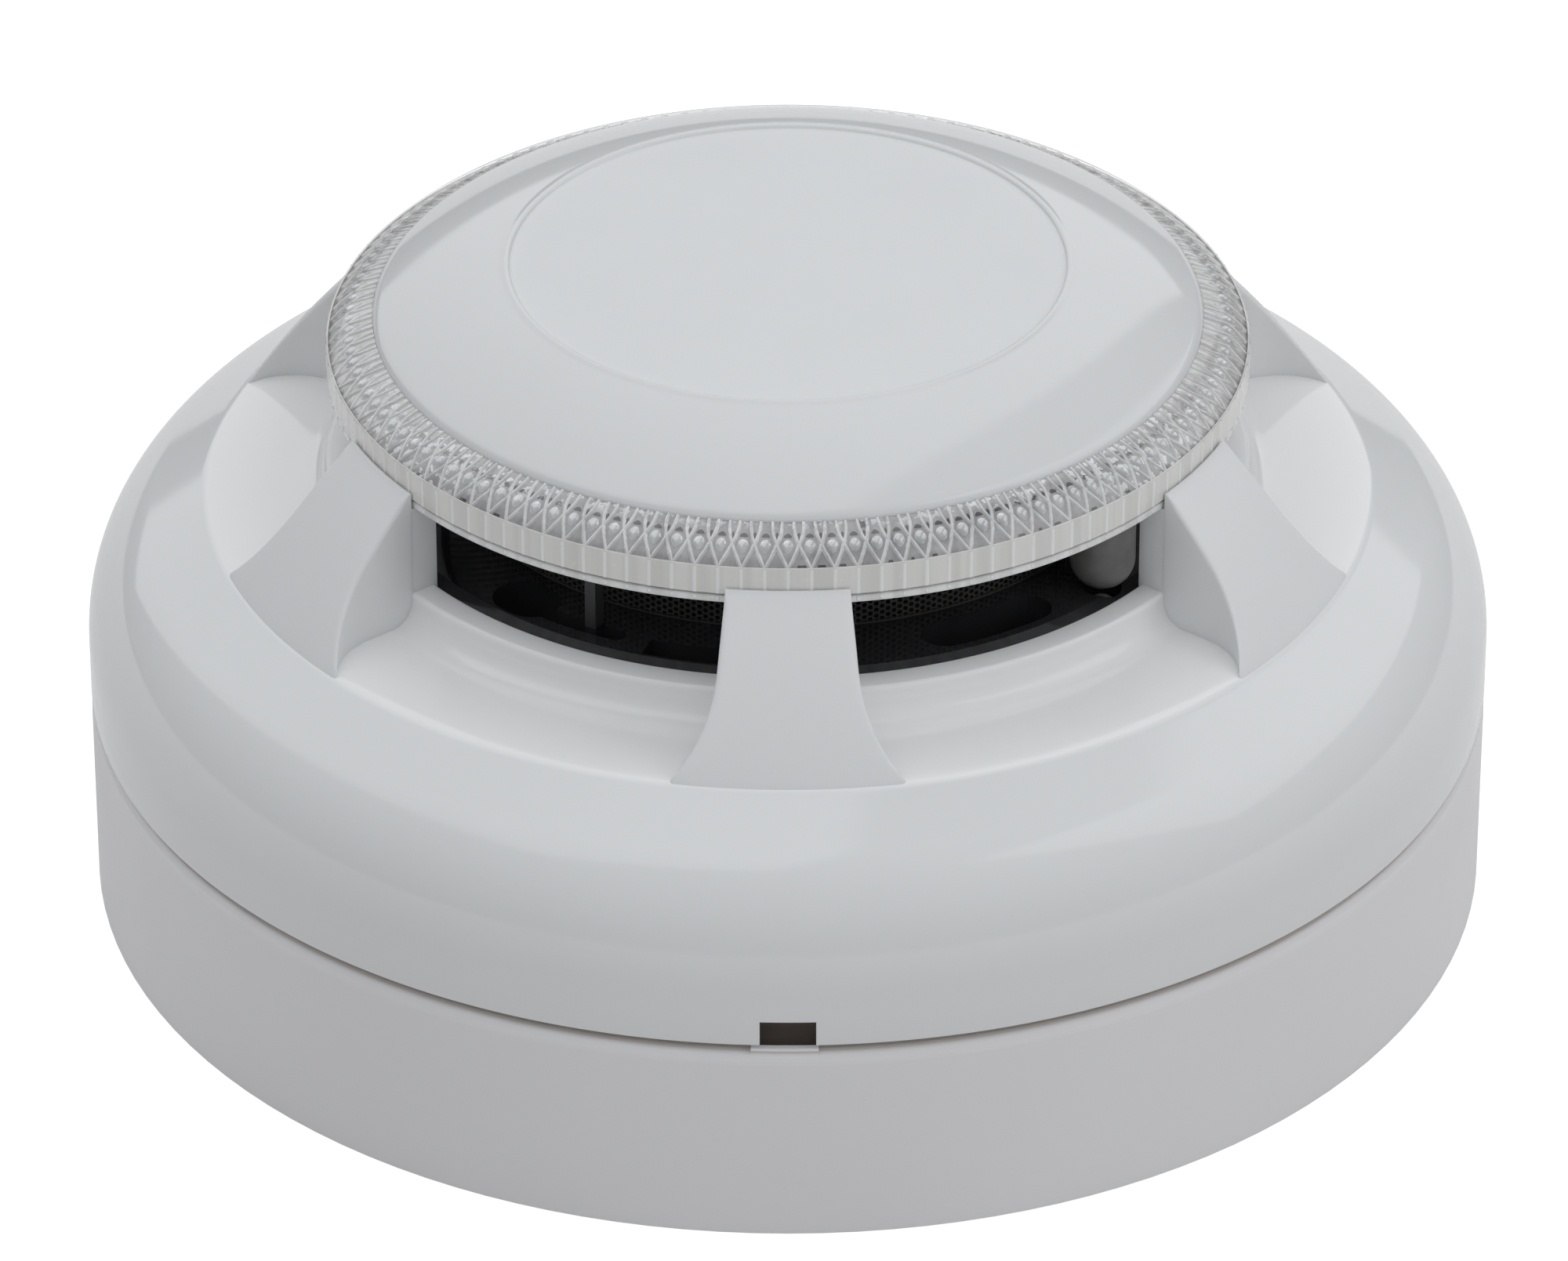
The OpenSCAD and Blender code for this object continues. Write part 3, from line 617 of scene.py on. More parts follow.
HOUSING = housing_white()
CAP = cap_white()
DISC = disc_white()
FIN = fin_white()
BASE = base_white()
SKIN = clear_skin()
PRISM = prism_clear("prism_face", (0.47, 0.46, 0.46), (0.34, 0.33, 0.34), (0.22, 0.4), painted_reflection_share=0.95)
BAND = prism_clear("prism_band", (0.84, 0.83, 0.80), (0.75, 0.74, 0.71), (0.18, 0.28), 0.06)
TICK = prism_clear("prism_tick", (0.96, 0.96, 0.96), (0.91, 0.91, 0.90), (0.10, 0.2), 0.2)
RIDGE = prism_clear(
    "prism_ridge", (0.78, 0.79, 0.78), (0.57, 0.58, 0.58), (0.10, 0.2), index=2.1, painted_reflection_share=1.0
)
BEAD = prism_clear(
    "prism_bead", (0.73, 0.74, 0.74), (0.52, 0.54, 0.55), (0.03, 0.08), index=2.4, painted_reflection_share=0.95
)
FLANGE = prism_clear("prism_flange", (0.91, 0.92, 0.91), (0.75, 0.76, 0.75), (0.10, 0.2), 0.2)
# painted glints: near-white nubs at the ticks' ends
GLINT_NUB = prism_clear("prism_nub_glint", (0.97, 0.97, 0.97), (0.92, 0.92, 0.92), (0.05, 0.1), 0.2)
# Near-black sheets: painted shade where the dark chamber shows through the clear ring
PAINTED_DARK = prism_clear(
    "prism_painted_dark", (0.15, 0.135, 0.145), (0.06, 0.052, 0.06), (0.08, 0.2), painted_reflection_share=0.9
)
BLACK_GLOSS = black_gloss()
BLACK_MATT = black_matt()
MESH = mesh_black()
STEEL = metal("zinc_steel", (0.60, 0.61, 0.63), (0.48, 0.49, 0.51), (0.22, 0.42))
BRASS = metal("rolled_brass", (0.72, 0.55, 0.27), (0.60, 0.44, 0.20), (0.18, 0.36), (6, 1, 1))
TIN = metal("bright_tin", (0.74, 0.74, 0.73), (0.64, 0.64, 0.63), (0.12, 0.25), (1, 8, 1))
WIRE = metal("spring_wire", (0.58, 0.59, 0.60), (0.42, 0.42, 0.43), (0.18, 0.32), size=0.4)


# ---- Housing ---------------------------------------------------------------------------


def housing_profile():
    """Closed section of the shell: skirt, shoulder, crease, terrace, lip, and its inside."""
    shoulder_x = BODY_R - SHOULDER_R
    edge = 0.2
    fillet = 1.8
    lip_edge = 0.32
    lip_wall = LIP_R + 2.1
    terrace_in = lip_wall + fillet
    crease_soft = 0.35
    slope = math.radians(SHOULDER_END)
    before = (CREASE_R + crease_soft * math.sin(slope), CREASE_Z - crease_soft * math.cos(slope))
    after = (CREASE_R - crease_soft, TERRACE_Z - 0.08)
    crease = [corner_curve(before, (CREASE_R, CREASE_Z), after, i / 6) for i in range(7)]
    return (
        [(BODY_R - SHELL_T, HEAD_Z), (BODY_R - edge - 0.6, HEAD_Z)]
        + arc(BODY_R - edge, HEAD_Z + edge, edge, 270, 360, 4)
        + [(BODY_R, HEAD_Z + 2.2)]
        + arc(shoulder_x, SHOULDER_Z, SHOULDER_R, 0, SHOULDER_END, 36)
        + crease
        + [(CREASE_R - 1.2, TERRACE_Z - 0.02), (CREASE_R - 3, TERRACE_Z)]
        + arc(terrace_in, TERRACE_Z + fillet, fillet, 270, 180, 14)
        + arc(lip_wall - lip_edge, LIP_TOP - lip_edge, lip_edge, 0, 90, 10)
        + arc(LIP_R + 0.3, LIP_TOP - 0.3, 0.3, 90, 180, 6)
        + [(LIP_R, TERRACE_Z - SHELL_T), (CREASE_R - 1.6, TERRACE_Z - SHELL_T)]
        + arc(shoulder_x, SHOULDER_Z, SHOULDER_R - SHELL_T, SHOULDER_END, 0, 16)
    )


def fin_side():
    """Half of a fin's plan, from its inner end out to the foot: straight, then flared."""
    draft = 8.4
    flare_r = 5.5
    flare_x, flare_y = 36.9, 4.89
    inner_x = 30.8
    slope = math.tan(math.radians(draft))
    cx = flare_x - flare_r * math.sin(math.radians(draft))
    cy = flare_y + flare_r * math.cos(math.radians(draft))
    steps = 40
    straight = [
        (
            inner_x + (flare_x - inner_x) * i / steps,
            flare_y - (flare_x - inner_x) * slope * (1 - i / steps),
        )
        for i in range(steps)
    ]
    return straight + arc(cx, cy, flare_r, 270 + draft, 270 + 70, 60)


def along(line, distance):
    """Point at a distance along a polyline, from its start."""
    for p, q in zip(line, line[1:]):
        step = math.dist(p, q)
        if distance <= step:
            t = distance / step
            return (p[0] + (q[0] - p[0]) * t, p[1] + (q[1] - p[1]) * t)
        distance -= step
    return line[-1]


def length_to_radius(line, radius):
    """Distance along a polyline at which it reaches a radius from the origin."""
    total = 0.0
    for p, q in zip(line, line[1:]):
        r0, r1 = math.hypot(*p), math.hypot(*q)
        if r0 <= radius <= r1:
            return total + math.dist(p, q) * (radius - r0) / max(r1 - r0, 1e-9)
        total += math.dist(p, q)
    return total


def eased(steps):
    """Numbers from 0 to 1 that crowd at both ends."""
    return [(1 - math.cos(math.pi * i / steps)) / 2 for i in range(steps + 1)]


def fin_loop(side, inner_r, outer_r, soft, z):
    """Closed outline of a fin at one height, with its two outer corners rounded."""
    start = length_to_radius(side, inner_r)
    end = length_to_radius(side, outer_r)
    soft = min(soft, (end - start) * 0.4)
    corner = along(side, end)
    side_points = [along(side, start + (end - soft - start) * t) for t in eased(14)]
    corner_angle = math.atan2(corner[1], corner[0])
    turn_start = corner_angle - soft / outer_r
    a = side_points[-1]
    b = (outer_r * math.cos(turn_start), outer_r * math.sin(turn_start))
    rounded = [corner_curve(a, corner, b, i / 6) for i in range(1, 6)]
    face = [
        (outer_r * math.cos(turn_start * (1 - 2 * t)), outer_r * math.sin(turn_start * (1 - 2 * t)))
        for t in eased(26)
    ]
    half = side_points + rounded
    mirrored = [(x, -y) for x, y in reversed(half)]
    inner_angle = math.atan2(side_points[0][1], side_points[0][0])
    inside = [
        (inner_r * math.cos(inner_angle * t), inner_r * math.sin(inner_angle * t))
        for t in (-0.6, -0.2, 0.2, 0.6)
    ]
    return [(x, y, z) for x, y in half + face + mirrored + inside]


def fin_levels():
    """Heights and outer radii of a fin, from inside the dome to its rounded top edge."""
    foot = (CREASE_R, CREASE_Z - 0.2)
    head = (RING_R + 0.35, FIN_TOP)
    edge = 0.12
    face = bulge(foot, head, -0.45, 28)
    top = arc(head[0] - edge, head[1] - edge, edge, 30, 90, 3)
    return [(CREASE_R, CREASE_Z - 0.9)] + [p for p in face if p[1] < FIN_TOP - edge] + top


def add_fins(build, slot):
    """Six fins. Each has a full-height front, and a body behind it that ends under the ring."""
    side = fin_side()
    shelf_r = RING_R + 0.1
    front = fin_levels()
    rear = [(shelf_r + 0.02, z) for z in (CREASE_Z - 0.9, TERRACE_Z + 2, RING_Z)]
    for k in range(FIN_COUNT):
        turn = math.radians(k * 360 / FIN_COUNT - 90)
        c, s = math.cos(turn), math.sin(turn)
        for stack, inner, soft in ((front, shelf_r, 0.5), (rear, LIP_R - 0.1, 0.01)):
            loops = []
            for r, z in stack:
                loop = fin_loop(side, inner, r, soft, z)
                loops.append([(x * c - y * s, x * s + y * c, zz) for x, y, zz in loop])
            build.loft(loops, slot)


def make_housing():
    shell = Build()
    shell.lathe(housing_profile(), 384)
    obj = shell.piece("housing_shell", "head", [HOUSING], replaced=["housing"])
    cut_box(
        obj,
        (-NOTCH_W / 2, -BODY_R - 1, HEAD_Z - 1),
        (NOTCH_W / 2, -BODY_R + SHELL_T + 1, HEAD_Z + NOTCH_H),
    )
    fins = Build()
    add_fins(fins, 0)
    fins.piece("housing_fins", "head", [FIN], sharp=30)


# ---- Cap -------------------------------------------------------------------------------


def make_cap():
    wall = 1.8
    step = 0.15
    edge = 0.25
    skirt = (27.4, 29.2)
    slope = bulge((CAP_R, CAP_EDGE_Z), (CAP_DISC_R + 0.5, CAP_DISC_Z + step), -0.45, 30)
    disc = bulge((CAP_DISC_R - 0.5, CAP_DISC_Z + 0.02), (0, CAP_TOP), -0.15, 16)
    rim = [
        (CAP_DISC_R + 0.35, CAP_DISC_Z + step + 0.09),
        (CAP_DISC_R + 0.22, CAP_DISC_Z + step + 0.12),
        (CAP_DISC_R + 0.08, CAP_DISC_Z + step + 0.10),
        (CAP_DISC_R - 0.02, CAP_DISC_Z + step + 0.03),
        (CAP_DISC_R - 0.12, CAP_DISC_Z + 0.04),
        (CAP_DISC_R - 0.25, CAP_DISC_Z),
    ]
    outer = arc(CAP_R - edge, CAP_EDGE_Z - edge, edge, -60, 40, 5) + slope[1:] + rim
    inner = [
        (0, CAP_TOP - wall),
        (CAP_DISC_R, CAP_DISC_Z - wall),
        (skirt[0], CAP_EDGE_Z - 1.1),
        (skirt[0], RING_Z + 1),
        (skirt[1], RING_Z + 1),
        (skirt[1], CAP_EDGE_Z - 0.9),
    ]
    cap = Build()
    cap.lathe(outer, 360, slot=0, closed=False)
    cap.lathe([rim[-1]] + disc, 360, slot=1, closed=False)
    cap.lathe([disc[-1]] + inner + [outer[0]], 360, slot=0, closed=False)
    cap.piece(
        "cap_shell", "head", [CAP, DISC], replaced=["cap"], merge=True
    )


# ---- Light ring ------------------------------------------------------------------------


def bevel_point(t, depth):
    """Point of the ring's bevel: t runs from the band to the cap, depth goes into the ring."""
    p = (RING_R, BAND_Z[1])
    q = (CAP_R + 0.1, CAP_EDGE_Z)
    dx, dz = q[0] - p[0], q[1] - p[1]
    length = math.hypot(dx, dz)
    lift = 0.25 * 4 * t * (1 - t) - depth
    return (p[0] + dx * t + dz / length * lift, p[1] + dz * t - dx / length * lift)


# Materials of the ring's piece, in the order of their slots
RING_MATERIALS = [SKIN, PRISM, BAND, RIDGE, BEAD, FLANGE, PAINTED_DARK, TICK, GLINT_NUB]
SKIN_S, FACE_S, BAND_S, RIDGE_S, BEAD_S, FLANGE_S, PAINTED_DARK_S, TICK_S, GLINT_NUB_S = range(9)

BEVEL_L = math.dist((RING_R, BAND_Z[1]), (CAP_R + 0.1, CAP_EDGE_Z))
CELL_W = math.radians(RING_CELL) * (RING_R + CAP_R) / 2
PRISM_DEPTH = 0.35
RING_STEPS = 512
FLANGE_R = RING_R - 0.12
FLANGE_T = 0.55


def surface(t, degrees, depth):
    r, z = bevel_point(t, depth)
    return polar(r, degrees, z)


def ridge_path(sign):
    """A prism ridge over one cell: (t, angle in cells). It leaves the tick, crosses the next
    ridge half-way between ticks and turns upright under the cap."""
    return [
        (0.01, 0.0),
        (0.10, sign * 0.10),
        (0.24, sign * 0.25),
        (0.38, sign * 0.40),
        (0.50, sign * 0.505),
        (0.60, sign * 0.60),
        (0.70, sign * 0.67),
        (0.80, sign * 0.71),
        (0.90, sign * 0.725),
        (0.99, sign * 0.73),
    ]


def cell_point(tick, cell, t, depth):
    """Point on the bevel's inner face, at an angle counted in cells from a tick."""
    return surface(t, (tick + cell) * RING_CELL, depth)


def add_ridge(build, tick, path, half_w, height):
    """A low rounded ridge along a path on the bevel's inner face."""
    section = ((-1, 0), (-0.6, 0.7), (0, 1), (0.6, 0.7), (1, 0))  # shares of half_w and height
    rows = []
    for i, (t, cell) in enumerate(path):
        before = path[max(i - 1, 0)]
        after = path[min(i + 1, len(path) - 1)]
        along_t = (after[0] - before[0]) * BEVEL_L
        along_a = (after[1] - before[1]) * CELL_W
        length = math.hypot(along_t, along_a)
        across_t, across_a = -along_a / length, along_t / length
        row = []
        for offset, lift in section:
            shift = offset * half_w
            at_t = t + across_t * shift / BEVEL_L
            at_cell = cell + across_a * shift / CELL_W
            row.append(cell_point(tick, at_cell, at_t, PRISM_DEPTH - lift * height))
        rows.append(row)
    build.strip(rows, RIDGE_S)


def add_bead(build, tick, t, half_w, half_l, height):
    """A bead lens on the bevel's inner face: a dome that narrows towards the band."""
    rings, around = 5, 16
    taper = 0.35
    rows = []
    for i in range(rings + 1):
        lat = math.pi / 2 * i / rings
        row = []
        for k in range(around + 1):
            a = math.tau * k / around
            narrow = 1 - taper * max(0, -math.sin(a))
            at_t = t + half_l * math.cos(lat) * math.sin(a) / BEVEL_L
            cell = half_w * narrow * math.cos(lat) * math.cos(a) / CELL_W
            row.append(cell_point(tick, cell, at_t, PRISM_DEPTH - height * math.sin(lat)))
        rows.append(row)
    build.strip(rows, BEAD_S)


def about(middle, rows):
    """Outline of a painted dark patch about a place in the cell, from (t, half its width in cells)
    per row.
    """
    return [(t, middle - half, middle + half) for t, half in rows]


def add_painted_dark_patch(build, tick, outline):
    """A thin dark patch on the bevel's inner face, painted shade where the dark chamber shows
    through the clear prisms: (t, first cell, last cell) per row.
    """
    rows = []
    for t, first, last in outline:
        cells = [first + (last - first) * i / 4 for i in range(5)]
        rows.append([cell_point(tick, cell, t, PRISM_DEPTH - 0.02) for cell in cells])
    build.strip(rows, PAINTED_DARK_S)


def add_prisms(ring):
    """The pattern inside the bevel: ridges, bead lenses, and between them dark patches of painted
    shade, where the dark chamber shows through the clear prisms.
    """
    chance = random.Random(11)
    # The streaks and spots below are painted shade too.
    streak_share = 0.45  # cells with a dark streak near the band
    spot_share = 0.06  # cells with a dark spot near the cap
    # painted shade: a dark crescent above each bead, and a dark teardrop between its ridges
    crescent = about(0, [(0.645, 0.19), (0.68, 0.17), (0.71, 0.11), (0.73, 0.03)])
    for k in range(RING_CELLS):
        for sign in (-1, 1):
            add_ridge(ring, k, ridge_path(sign), half_w=0.15, height=0.14)
        add_bead(ring, k, 0.46, half_w=0.42, half_l=0.56, height=0.22)
        add_painted_dark_patch(ring, k, crescent)
        grow = chance.uniform(0.5, 1.1)
        ends, sides, middle = 0.01, 0.07 * grow, 0.1 * grow
        tear = [(0.59, ends), (0.62, sides), (0.68, middle), (0.72, sides), (0.75, ends)]
        add_painted_dark_patch(ring, k, about(0.5, tear))
        if chance.random() < streak_share:
            start = chance.uniform(0.15, 0.4)
            end = start + chance.uniform(0.15, 0.45)
            add_painted_dark_patch(ring, k, [(0.04, start, end), (0.10, start + 0.04, end - 0.04)])
        if chance.random() < spot_share:
            add_painted_dark_patch(ring, k, [(0.80, 0.36, 0.62), (0.88, 0.34, 0.64), (0.95, 0.38, 0.6)])


def add_bevel(ring):
    """Clear skin over the bevel, and the patterned face that shows through it."""
    skin = [bevel_point(t / 12, 0) for t in range(13)]
    ring.lathe(skin, RING_STEPS, slot=SKIN_S, closed=False)
    face = [bevel_point(t / 10, PRISM_DEPTH) for t in range(11)]
    ring.lathe([(face[0][0], BAND_Z[1] - 0.2)] + face, RING_STEPS, slot=FACE_S, closed=False)
    add_prisms(ring)


def add_band(ring):
    """Band, rounded over at its top edge, with a raised line at each tick, and a dark strip in its
    groove: painted shade for the gap under the band.
    """
    edge = 0.15
    band_r = RING_R - 0.03
    groove_r = RING_R - 0.55
    inner_r = bevel_point(0, PRISM_DEPTH)[0]
    band = [(groove_r, BAND_Z[0]), (band_r, BAND_Z[0])]
    band += arc(band_r - edge, BAND_Z[1] - edge, edge, 0, 60, 4)
    band += [(inner_r, BAND_Z[1] - 0.05)]
    ring.lathe(band, RING_STEPS, slot=BAND_S, closed=False)
    tick = ((-0.13, band_r), (-0.07, RING_R), (0.07, RING_R), (0.13, band_r))
    for k in range(RING_CELLS):
        rows = []
        for z in (BAND_Z[0], BAND_Z[1] - 0.1):
            row = []
            for offset, r in tick:
                row.append(polar(r, k * RING_CELL + math.degrees(offset / RING_R), z))
            rows.append(row)
        ring.strip(rows, TICK_S)
    # painted shade: a dark strip in the groove between band and flange
    groove = [(groove_r, RING_Z + FLANGE_T), (groove_r, BAND_Z[0])]
    ring.lathe(groove, RING_STEPS, slot=PAINTED_DARK_S, closed=False)


def add_flange(ring):
    """Flange with a rounded outer edge, and a nub at each tick, near-white: a painted glint."""
    edge = 0.15
    inner_r = SCREEN_R + 0.6
    flange = (
        [(inner_r, RING_Z)]
        + arc(FLANGE_R - edge, RING_Z + edge, edge, 270, 360, 4)
        + arc(FLANGE_R - edge, RING_Z + FLANGE_T - edge, edge, 0, 90, 4)
        + [(inner_r, RING_Z + FLANGE_T)]
    )
    ring.lathe(flange, RING_STEPS, slot=FLANGE_S)
    nub_r, nub_h = 0.15, 0.2
    for k in range(RING_CELLS):
        x, y, z = polar(FLANGE_R - 0.05, k * RING_CELL, RING_Z + FLANGE_T * 0.6)
        loops = []
        for lat in (-60, -20, 20, 60):
            r = nub_r * math.cos(math.radians(lat))
            lift = nub_h * math.sin(math.radians(lat))
            loops.append([(x + px, y + py, z + lift) for px, py in arc(0, 0, r, 0, 315, 7)])
        ring.loft(loops, GLINT_NUB_S)


def make_ring():
    ring = Build()
    add_bevel(ring)
    add_band(ring)
    add_flange(ring)
    ring.piece(
        "light_ring_clear",
        "head",
        RING_MATERIALS,
        sharp=60,
        replaced=["light_ring"],
    )


# ---- Insect screen ---------------------------------------------------------------------


def make_screen():
    """Fine hexagonal mesh: a ring of cells, each with a hexagonal hole and its walls."""
    columns = 358
    hole = 0.70  # hole size as a share of its cell
    wall_t = 0.12
    cell = math.tau * SCREEN_R / columns / 1.5  # the hexagon's corner radius
    pitch = cell * math.sqrt(3)
    top = RING_Z
    screen = Build()
    for column in range(columns):
        lift = pitch / 2 if column % 2 else 0
        rows = int((top - TRAY_Z - lift) / pitch)
        for row in range(rows):
            z0 = TRAY_Z + lift + pitch * (row + 0.5)
            rings = []
            for share, depth in ((1, 0), (hole, 0), (hole, wall_t)):
                ring = []
                for corner in range(6):
                    a = math.radians(60 * corner)
                    along_arc = cell * share * math.cos(a)
                    angle = math.degrees((column * 1.5 * cell + along_arc) / SCREEN_R)
                    ring.append(polar(SCREEN_R - depth, angle, z0 + cell * share * math.sin(a)))
                rings.append(ring)
            screen.loft(rings, caps=False)
    for z, band in ((TRAY_Z, 0.1), (top - 0.35, 0.35)):
        profile = [
            (SCREEN_R + 0.02, z),
            (SCREEN_R + 0.02, z + band),
            (SCREEN_R - 0.3, z + band),
            (SCREEN_R - 0.3, z),
        ]
        screen.lathe(profile, 240)
    screen.piece(
        "screen_mesh", "head", [MESH], sharp=30, replaced=["insect_screen"]
    )


# ---- Latch spring ----------------------------------------------------------------------


def make_spring():
    """Coil spring behind the latch. The real one shortens as the latch is pushed in; this one is
    drawn at one length.
    """
    box_low, box_high = low("latch_spring"), high("latch_spring")
    wire = 0.2
    coil_r = (box_high.x - box_low.x) / 2 - wire
    turns = 6
    steps = 28
    sides = 10
    centre_z = (box_low.z + box_high.z) / 2
    start, end = box_low.y + wire, box_high.y - wire
    loops = []
    for i in range(turns * steps + 1):
        a = math.tau * i / steps
        y = start + (end - start) * i / (turns * steps)
        loop = []
        for k in range(sides):
            b = math.tau * k / sides
            r = coil_r + wire * math.cos(b)
            loop.append((r * math.cos(a), y + wire * math.sin(b), centre_z + r * math.sin(a)))
        loops.append(loop)
    coil = Build()
    coil.loft(loops)
    obj = coil.piece(
        "latch_coil", "base", [WIRE], sharp=60, replaced=["latch_spring"]
    )
    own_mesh(obj)


# ---- CAD nodes that stay ---------------------------------------------------------------


def dress(node, material):
    """Gives a CAD node its material."""
    mesh = nodes[node].data
    mesh.materials.clear()
    mesh.materials.append(material)


def dress_nodes():
    lamp = epoxy("lamp_epoxy", (0.80, 0.79, 0.76), (0.70, 0.69, 0.66), 0.6)
    emitter = epoxy("emitter_epoxy", (0.16, 0.20, 0.42), (0.11, 0.14, 0.32), 0.5)
    filter_dark = epoxy("filter_epoxy", (0.045, 0.012, 0.016), (0.025, 0.006, 0.010), 0.2)
    chip = chip_black()
    dressed = {
        "mounting_base": BASE,
        "terminal_strips": BRASS,
        "clamp_washers": STEEL,
        "terminal_screws": STEEL,
        "lock_latch": latch_notch_shade(),
        "back_plate": FIN,
        "contact_blades": BRASS,
        "contact_rivets": BRASS,
        "housing_screws": STEEL,
        "circuit_board": solder_mask(),
        "board_screws": STEEL,
        "microcontroller": chip,
        "driver_chips": chip,
        "capacitors": capacitor_can(),
        "chip_resistors": ceramic(),
        "shield_can": TIN,
        "indicator_leds": lamp,
        "light_pipes": frosted(),
        "chamber_tray": BLACK_GLOSS,
        "chamber_seal": foam(),
        "optical_block": BLACK_MATT,
        "labyrinth": BLACK_MATT,
        "infrared_emitter": emitter,
        "photodiode": filter_dark,
        "chamber_roof": BLACK_MATT,
    }
    for name, material in dressed.items():
        dress(name, material)


# ---- Stage, light and camera -----------------------------------------------------------

RIGHT_WATTS = 1.57
SKY_TOP = 0.87
SKY_SIDE = 0.0
FLOOR_GLOW = 0.105
FLOOR_SEEN = 0.8
FLOOR_MIRRORED = 0.36
FLOOR_HALF = 4.0
FLOOR_DROP = 0.05 * MM  # keeps the floor clear of the base's underside
ROOM_SIDE = 0.19
ROOM_TOP = 0.34
BOX_GLOW = 0.94
# Edges of the soft box and of the gap between its two panels, at a height of 1
BOX_LEFT, BOX_RIGHT = -0.9, 1.9
BOX_FRONT, BOX_BACK = -0.40, 5.4
BOX_FAN = 0.75  # how fast the left edge spreads towards the back
GAP_LEFT, GAP_RIGHT = (0.12, 0.20), (0.52, 0.62)
GAP_LEAN = 0.46  # how far the gap leans to the right, towards the back


def make_floor():
    """Pale floor. It looks white, also in the gloss, but lights as softly as a grey one would."""
    s = Shader("pale_floor")
    drift = s.spread(s.noise(60), 0, 1)
    s.drive("Base Color", s.blend(drift, (0.52, 0.52, 0.52), (0.50, 0.50, 0.50)))
    s.drive("Roughness", s.spread(s.noise(20), 0.8, 0.9))
    s.bsdf.inputs["Emission Color"].default_value = (1.0, 1.0, 1.0, 1)
    path = s.node("ShaderNodeLightPath").outputs
    seen = s.maths("MULTIPLY", path["Is Camera Ray"], FLOOR_SEEN - FLOOR_GLOW)
    mirrored = s.maths("MULTIPLY", path["Is Glossy Ray"], FLOOR_MIRRORED - FLOOR_GLOW)
    s.drive("Emission Strength", s.maths("ADD", s.maths("ADD", seen, mirrored), FLOOR_GLOW))
    mesh = bpy.data.meshes.new("floor")
    corners = [(-1, -1), (1, -1), (1, 1), (-1, 1)]
    verts = [(x * FLOOR_HALF, y * FLOOR_HALF, -FLOOR_DROP) for x, y in corners]
    mesh.from_pydata(verts, [], [(0, 1, 2, 3)])
    mesh.materials.append(s.material)
    floor = bpy.data.objects.new("floor", mesh)
    bpy.context.scene.collection.objects.link(floor)


def aim(obj, target):
    direction = Vector(target) - obj.location
    obj.rotation_euler = direction.to_track_quat("-Z", "Y").to_euler()


def soft_box(name, place, target, size, watts):
    light = bpy.data.lights.new(name, "AREA")
    light.shape = "RECTANGLE"
    light.size, light.size_y = size
    light.energy = watts
    obj = bpy.data.objects.new(name, light)
    bpy.context.scene.collection.objects.link(obj)
    obj.location = place
    aim(obj, target)
    return obj


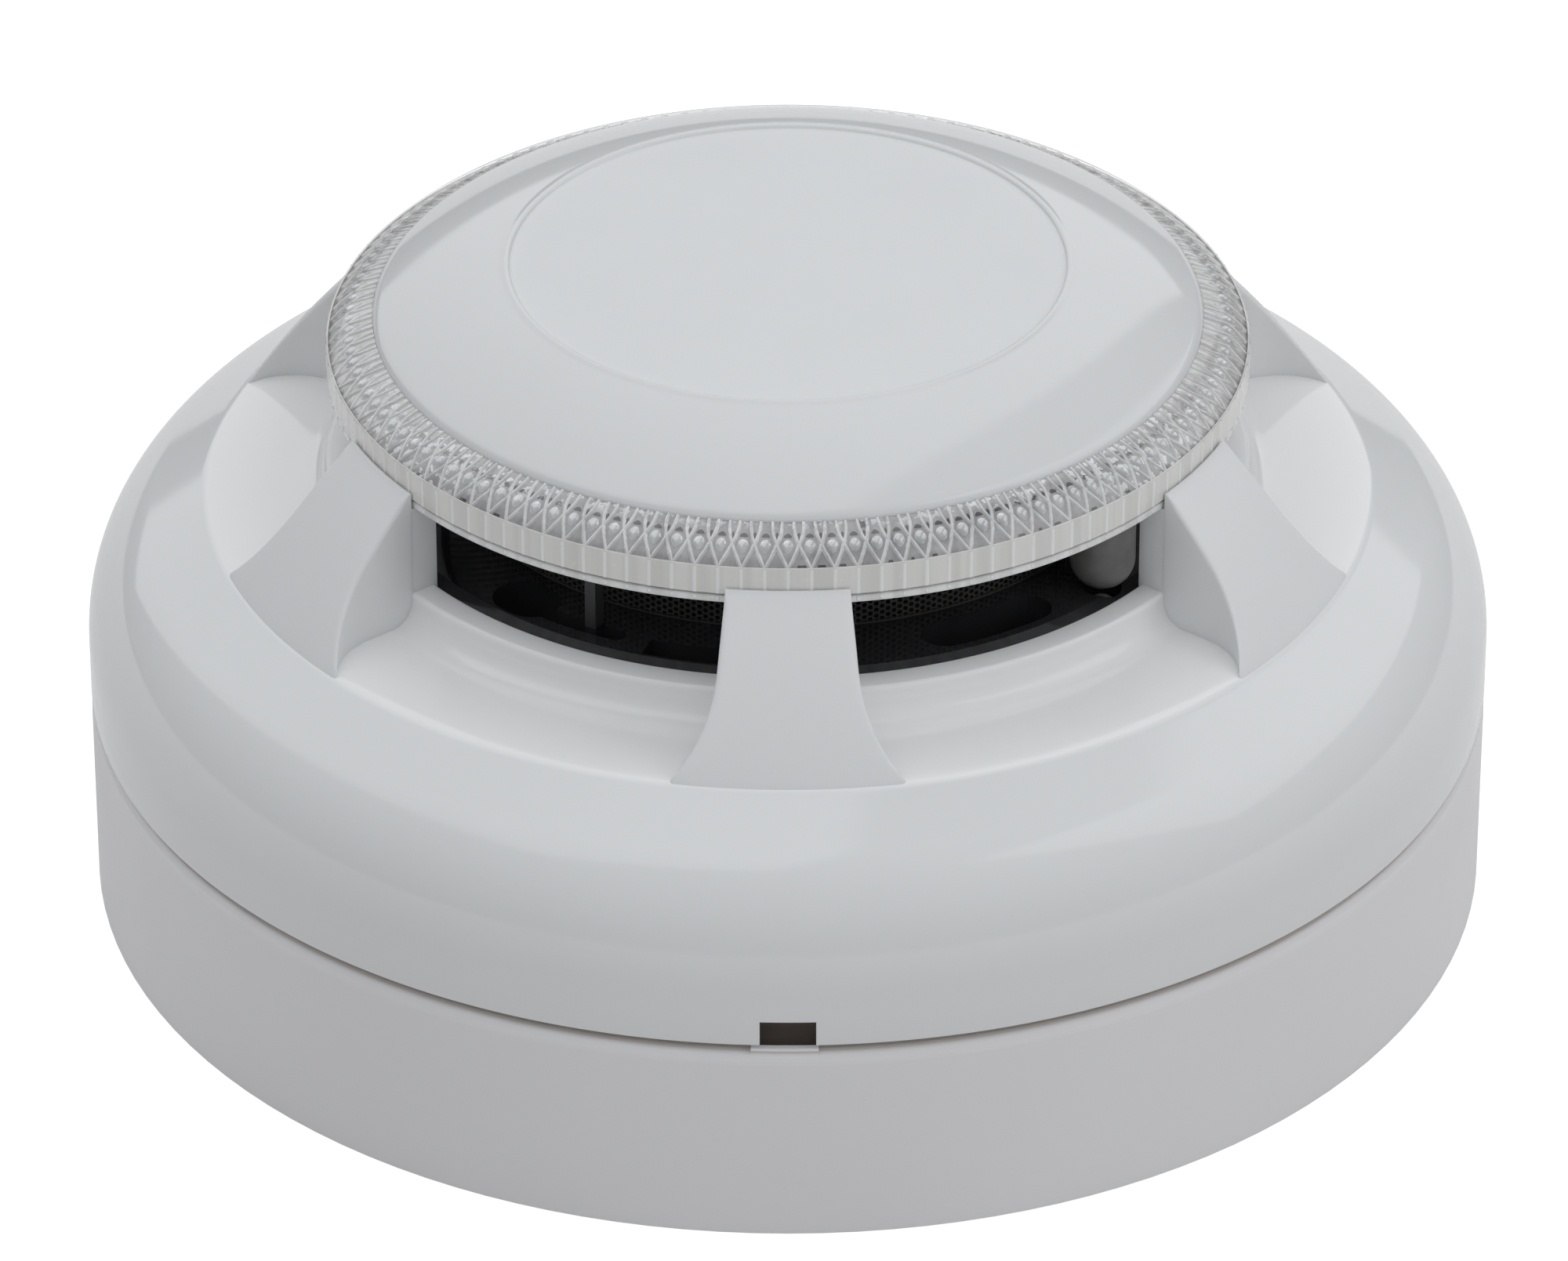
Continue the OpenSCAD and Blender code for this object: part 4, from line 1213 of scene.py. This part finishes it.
def make_sky():
    """Soft light from all round. Gloss mirrors a large soft box overhead and a dimmer room."""
    world = bpy.data.worlds.new("studio")
    bpy.context.scene.world = world
    world.use_nodes = True
    tree = world.node_tree
    background = tree.nodes["Background"]
    background.inputs["Color"].default_value = (0.97, 0.985, 1.0, 1)

    def ramp(value, start, end, low_value=0.0, high_value=1.0):
        node = tree.nodes.new("ShaderNodeMapRange")
        node.interpolation_type = "SMOOTHSTEP"
        settings = {"From Min": start, "From Max": end, "To Min": low_value, "To Max": high_value}
        for socket, number in settings.items():
            node.inputs[socket].default_value = number
        tree.links.new(value, node.inputs["Value"])
        return node.outputs["Result"]

    def maths(operation, a, b):
        node = tree.nodes.new("ShaderNodeMath")
        node.operation = operation
        for index, value in enumerate((a, b)):
            if isinstance(value, bpy.types.NodeSocket):
                tree.links.new(value, node.inputs[index])
            else:
                node.inputs[index].default_value = value
        return node.outputs["Value"]

    direction = tree.nodes.new("ShaderNodeTexCoord").outputs["Generated"]
    split = tree.nodes.new("ShaderNodeSeparateXYZ")
    tree.links.new(direction, split.inputs["Vector"])
    x, y, z = (split.outputs[axis] for axis in "XYZ")
    height = maths("MAXIMUM", z, 0.02)
    across = maths("DIVIDE", x, height)
    back = maths("DIVIDE", y, height)
    slant = maths("SUBTRACT", across, maths("MULTIPLY", back, GAP_LEAN))
    panels = maths("ADD", ramp(slant, *reversed(GAP_LEFT)), ramp(slant, *GAP_RIGHT))
    fan = maths("ADD", across, maths("MULTIPLY", back, BOX_FAN))
    box = maths("MULTIPLY", panels, ramp(fan, BOX_LEFT - 0.1, BOX_LEFT + 0.1))
    box = maths("MULTIPLY", box, ramp(across, BOX_RIGHT + 0.05, BOX_RIGHT - 0.05))
    box = maths("MULTIPLY", box, ramp(back, BOX_FRONT - 0.05, BOX_FRONT + 0.05))
    box = maths("MULTIPLY", box, ramp(back, BOX_BACK + 0.6, BOX_BACK - 0.6))
    room = ramp(z, 0.1, 0.7, ROOM_SIDE, ROOM_TOP)
    mirrored = maths("ADD", room, maths("MULTIPLY", box, BOX_GLOW))
    soft = ramp(z, 0.0, 0.75, SKY_SIDE, SKY_TOP)
    glossy = tree.nodes.new("ShaderNodeLightPath").outputs["Is Glossy Ray"]
    extra = maths("MULTIPLY", glossy, maths("SUBTRACT", mirrored, soft))
    tree.links.new(maths("ADD", soft, extra), background.inputs["Strength"])


def make_light():
    fill = soft_box("fill_right", (1.00, -0.55, 0.42), (0, 0, 0.03), (0.4, 0.7), RIGHT_WATTS)
    fill.visible_glossy = False
    make_sky()


def make_camera():
    distance, elevation = 0.7105, math.radians(31.55)
    target = Vector((0, 0, 0.01804))
    camera = bpy.data.cameras.new("camera")
    camera.sensor_width = 36
    camera.lens = 222.804
    camera.shift_x = -0.0025
    camera.clip_start = 0.01
    obj = bpy.data.objects.new("camera", camera)
    bpy.context.scene.collection.objects.link(obj)
    offset = Vector((0, -math.cos(elevation), math.sin(elevation))) * distance
    obj.location = target + offset
    aim(obj, target)
    bpy.context.scene.camera = obj


make_housing()
make_cap()
make_ring()
make_screen()
make_spring()
dress_nodes()
make_floor()
make_light()
make_camera()
bpy.context.scene.view_settings.view_transform = "Standard"
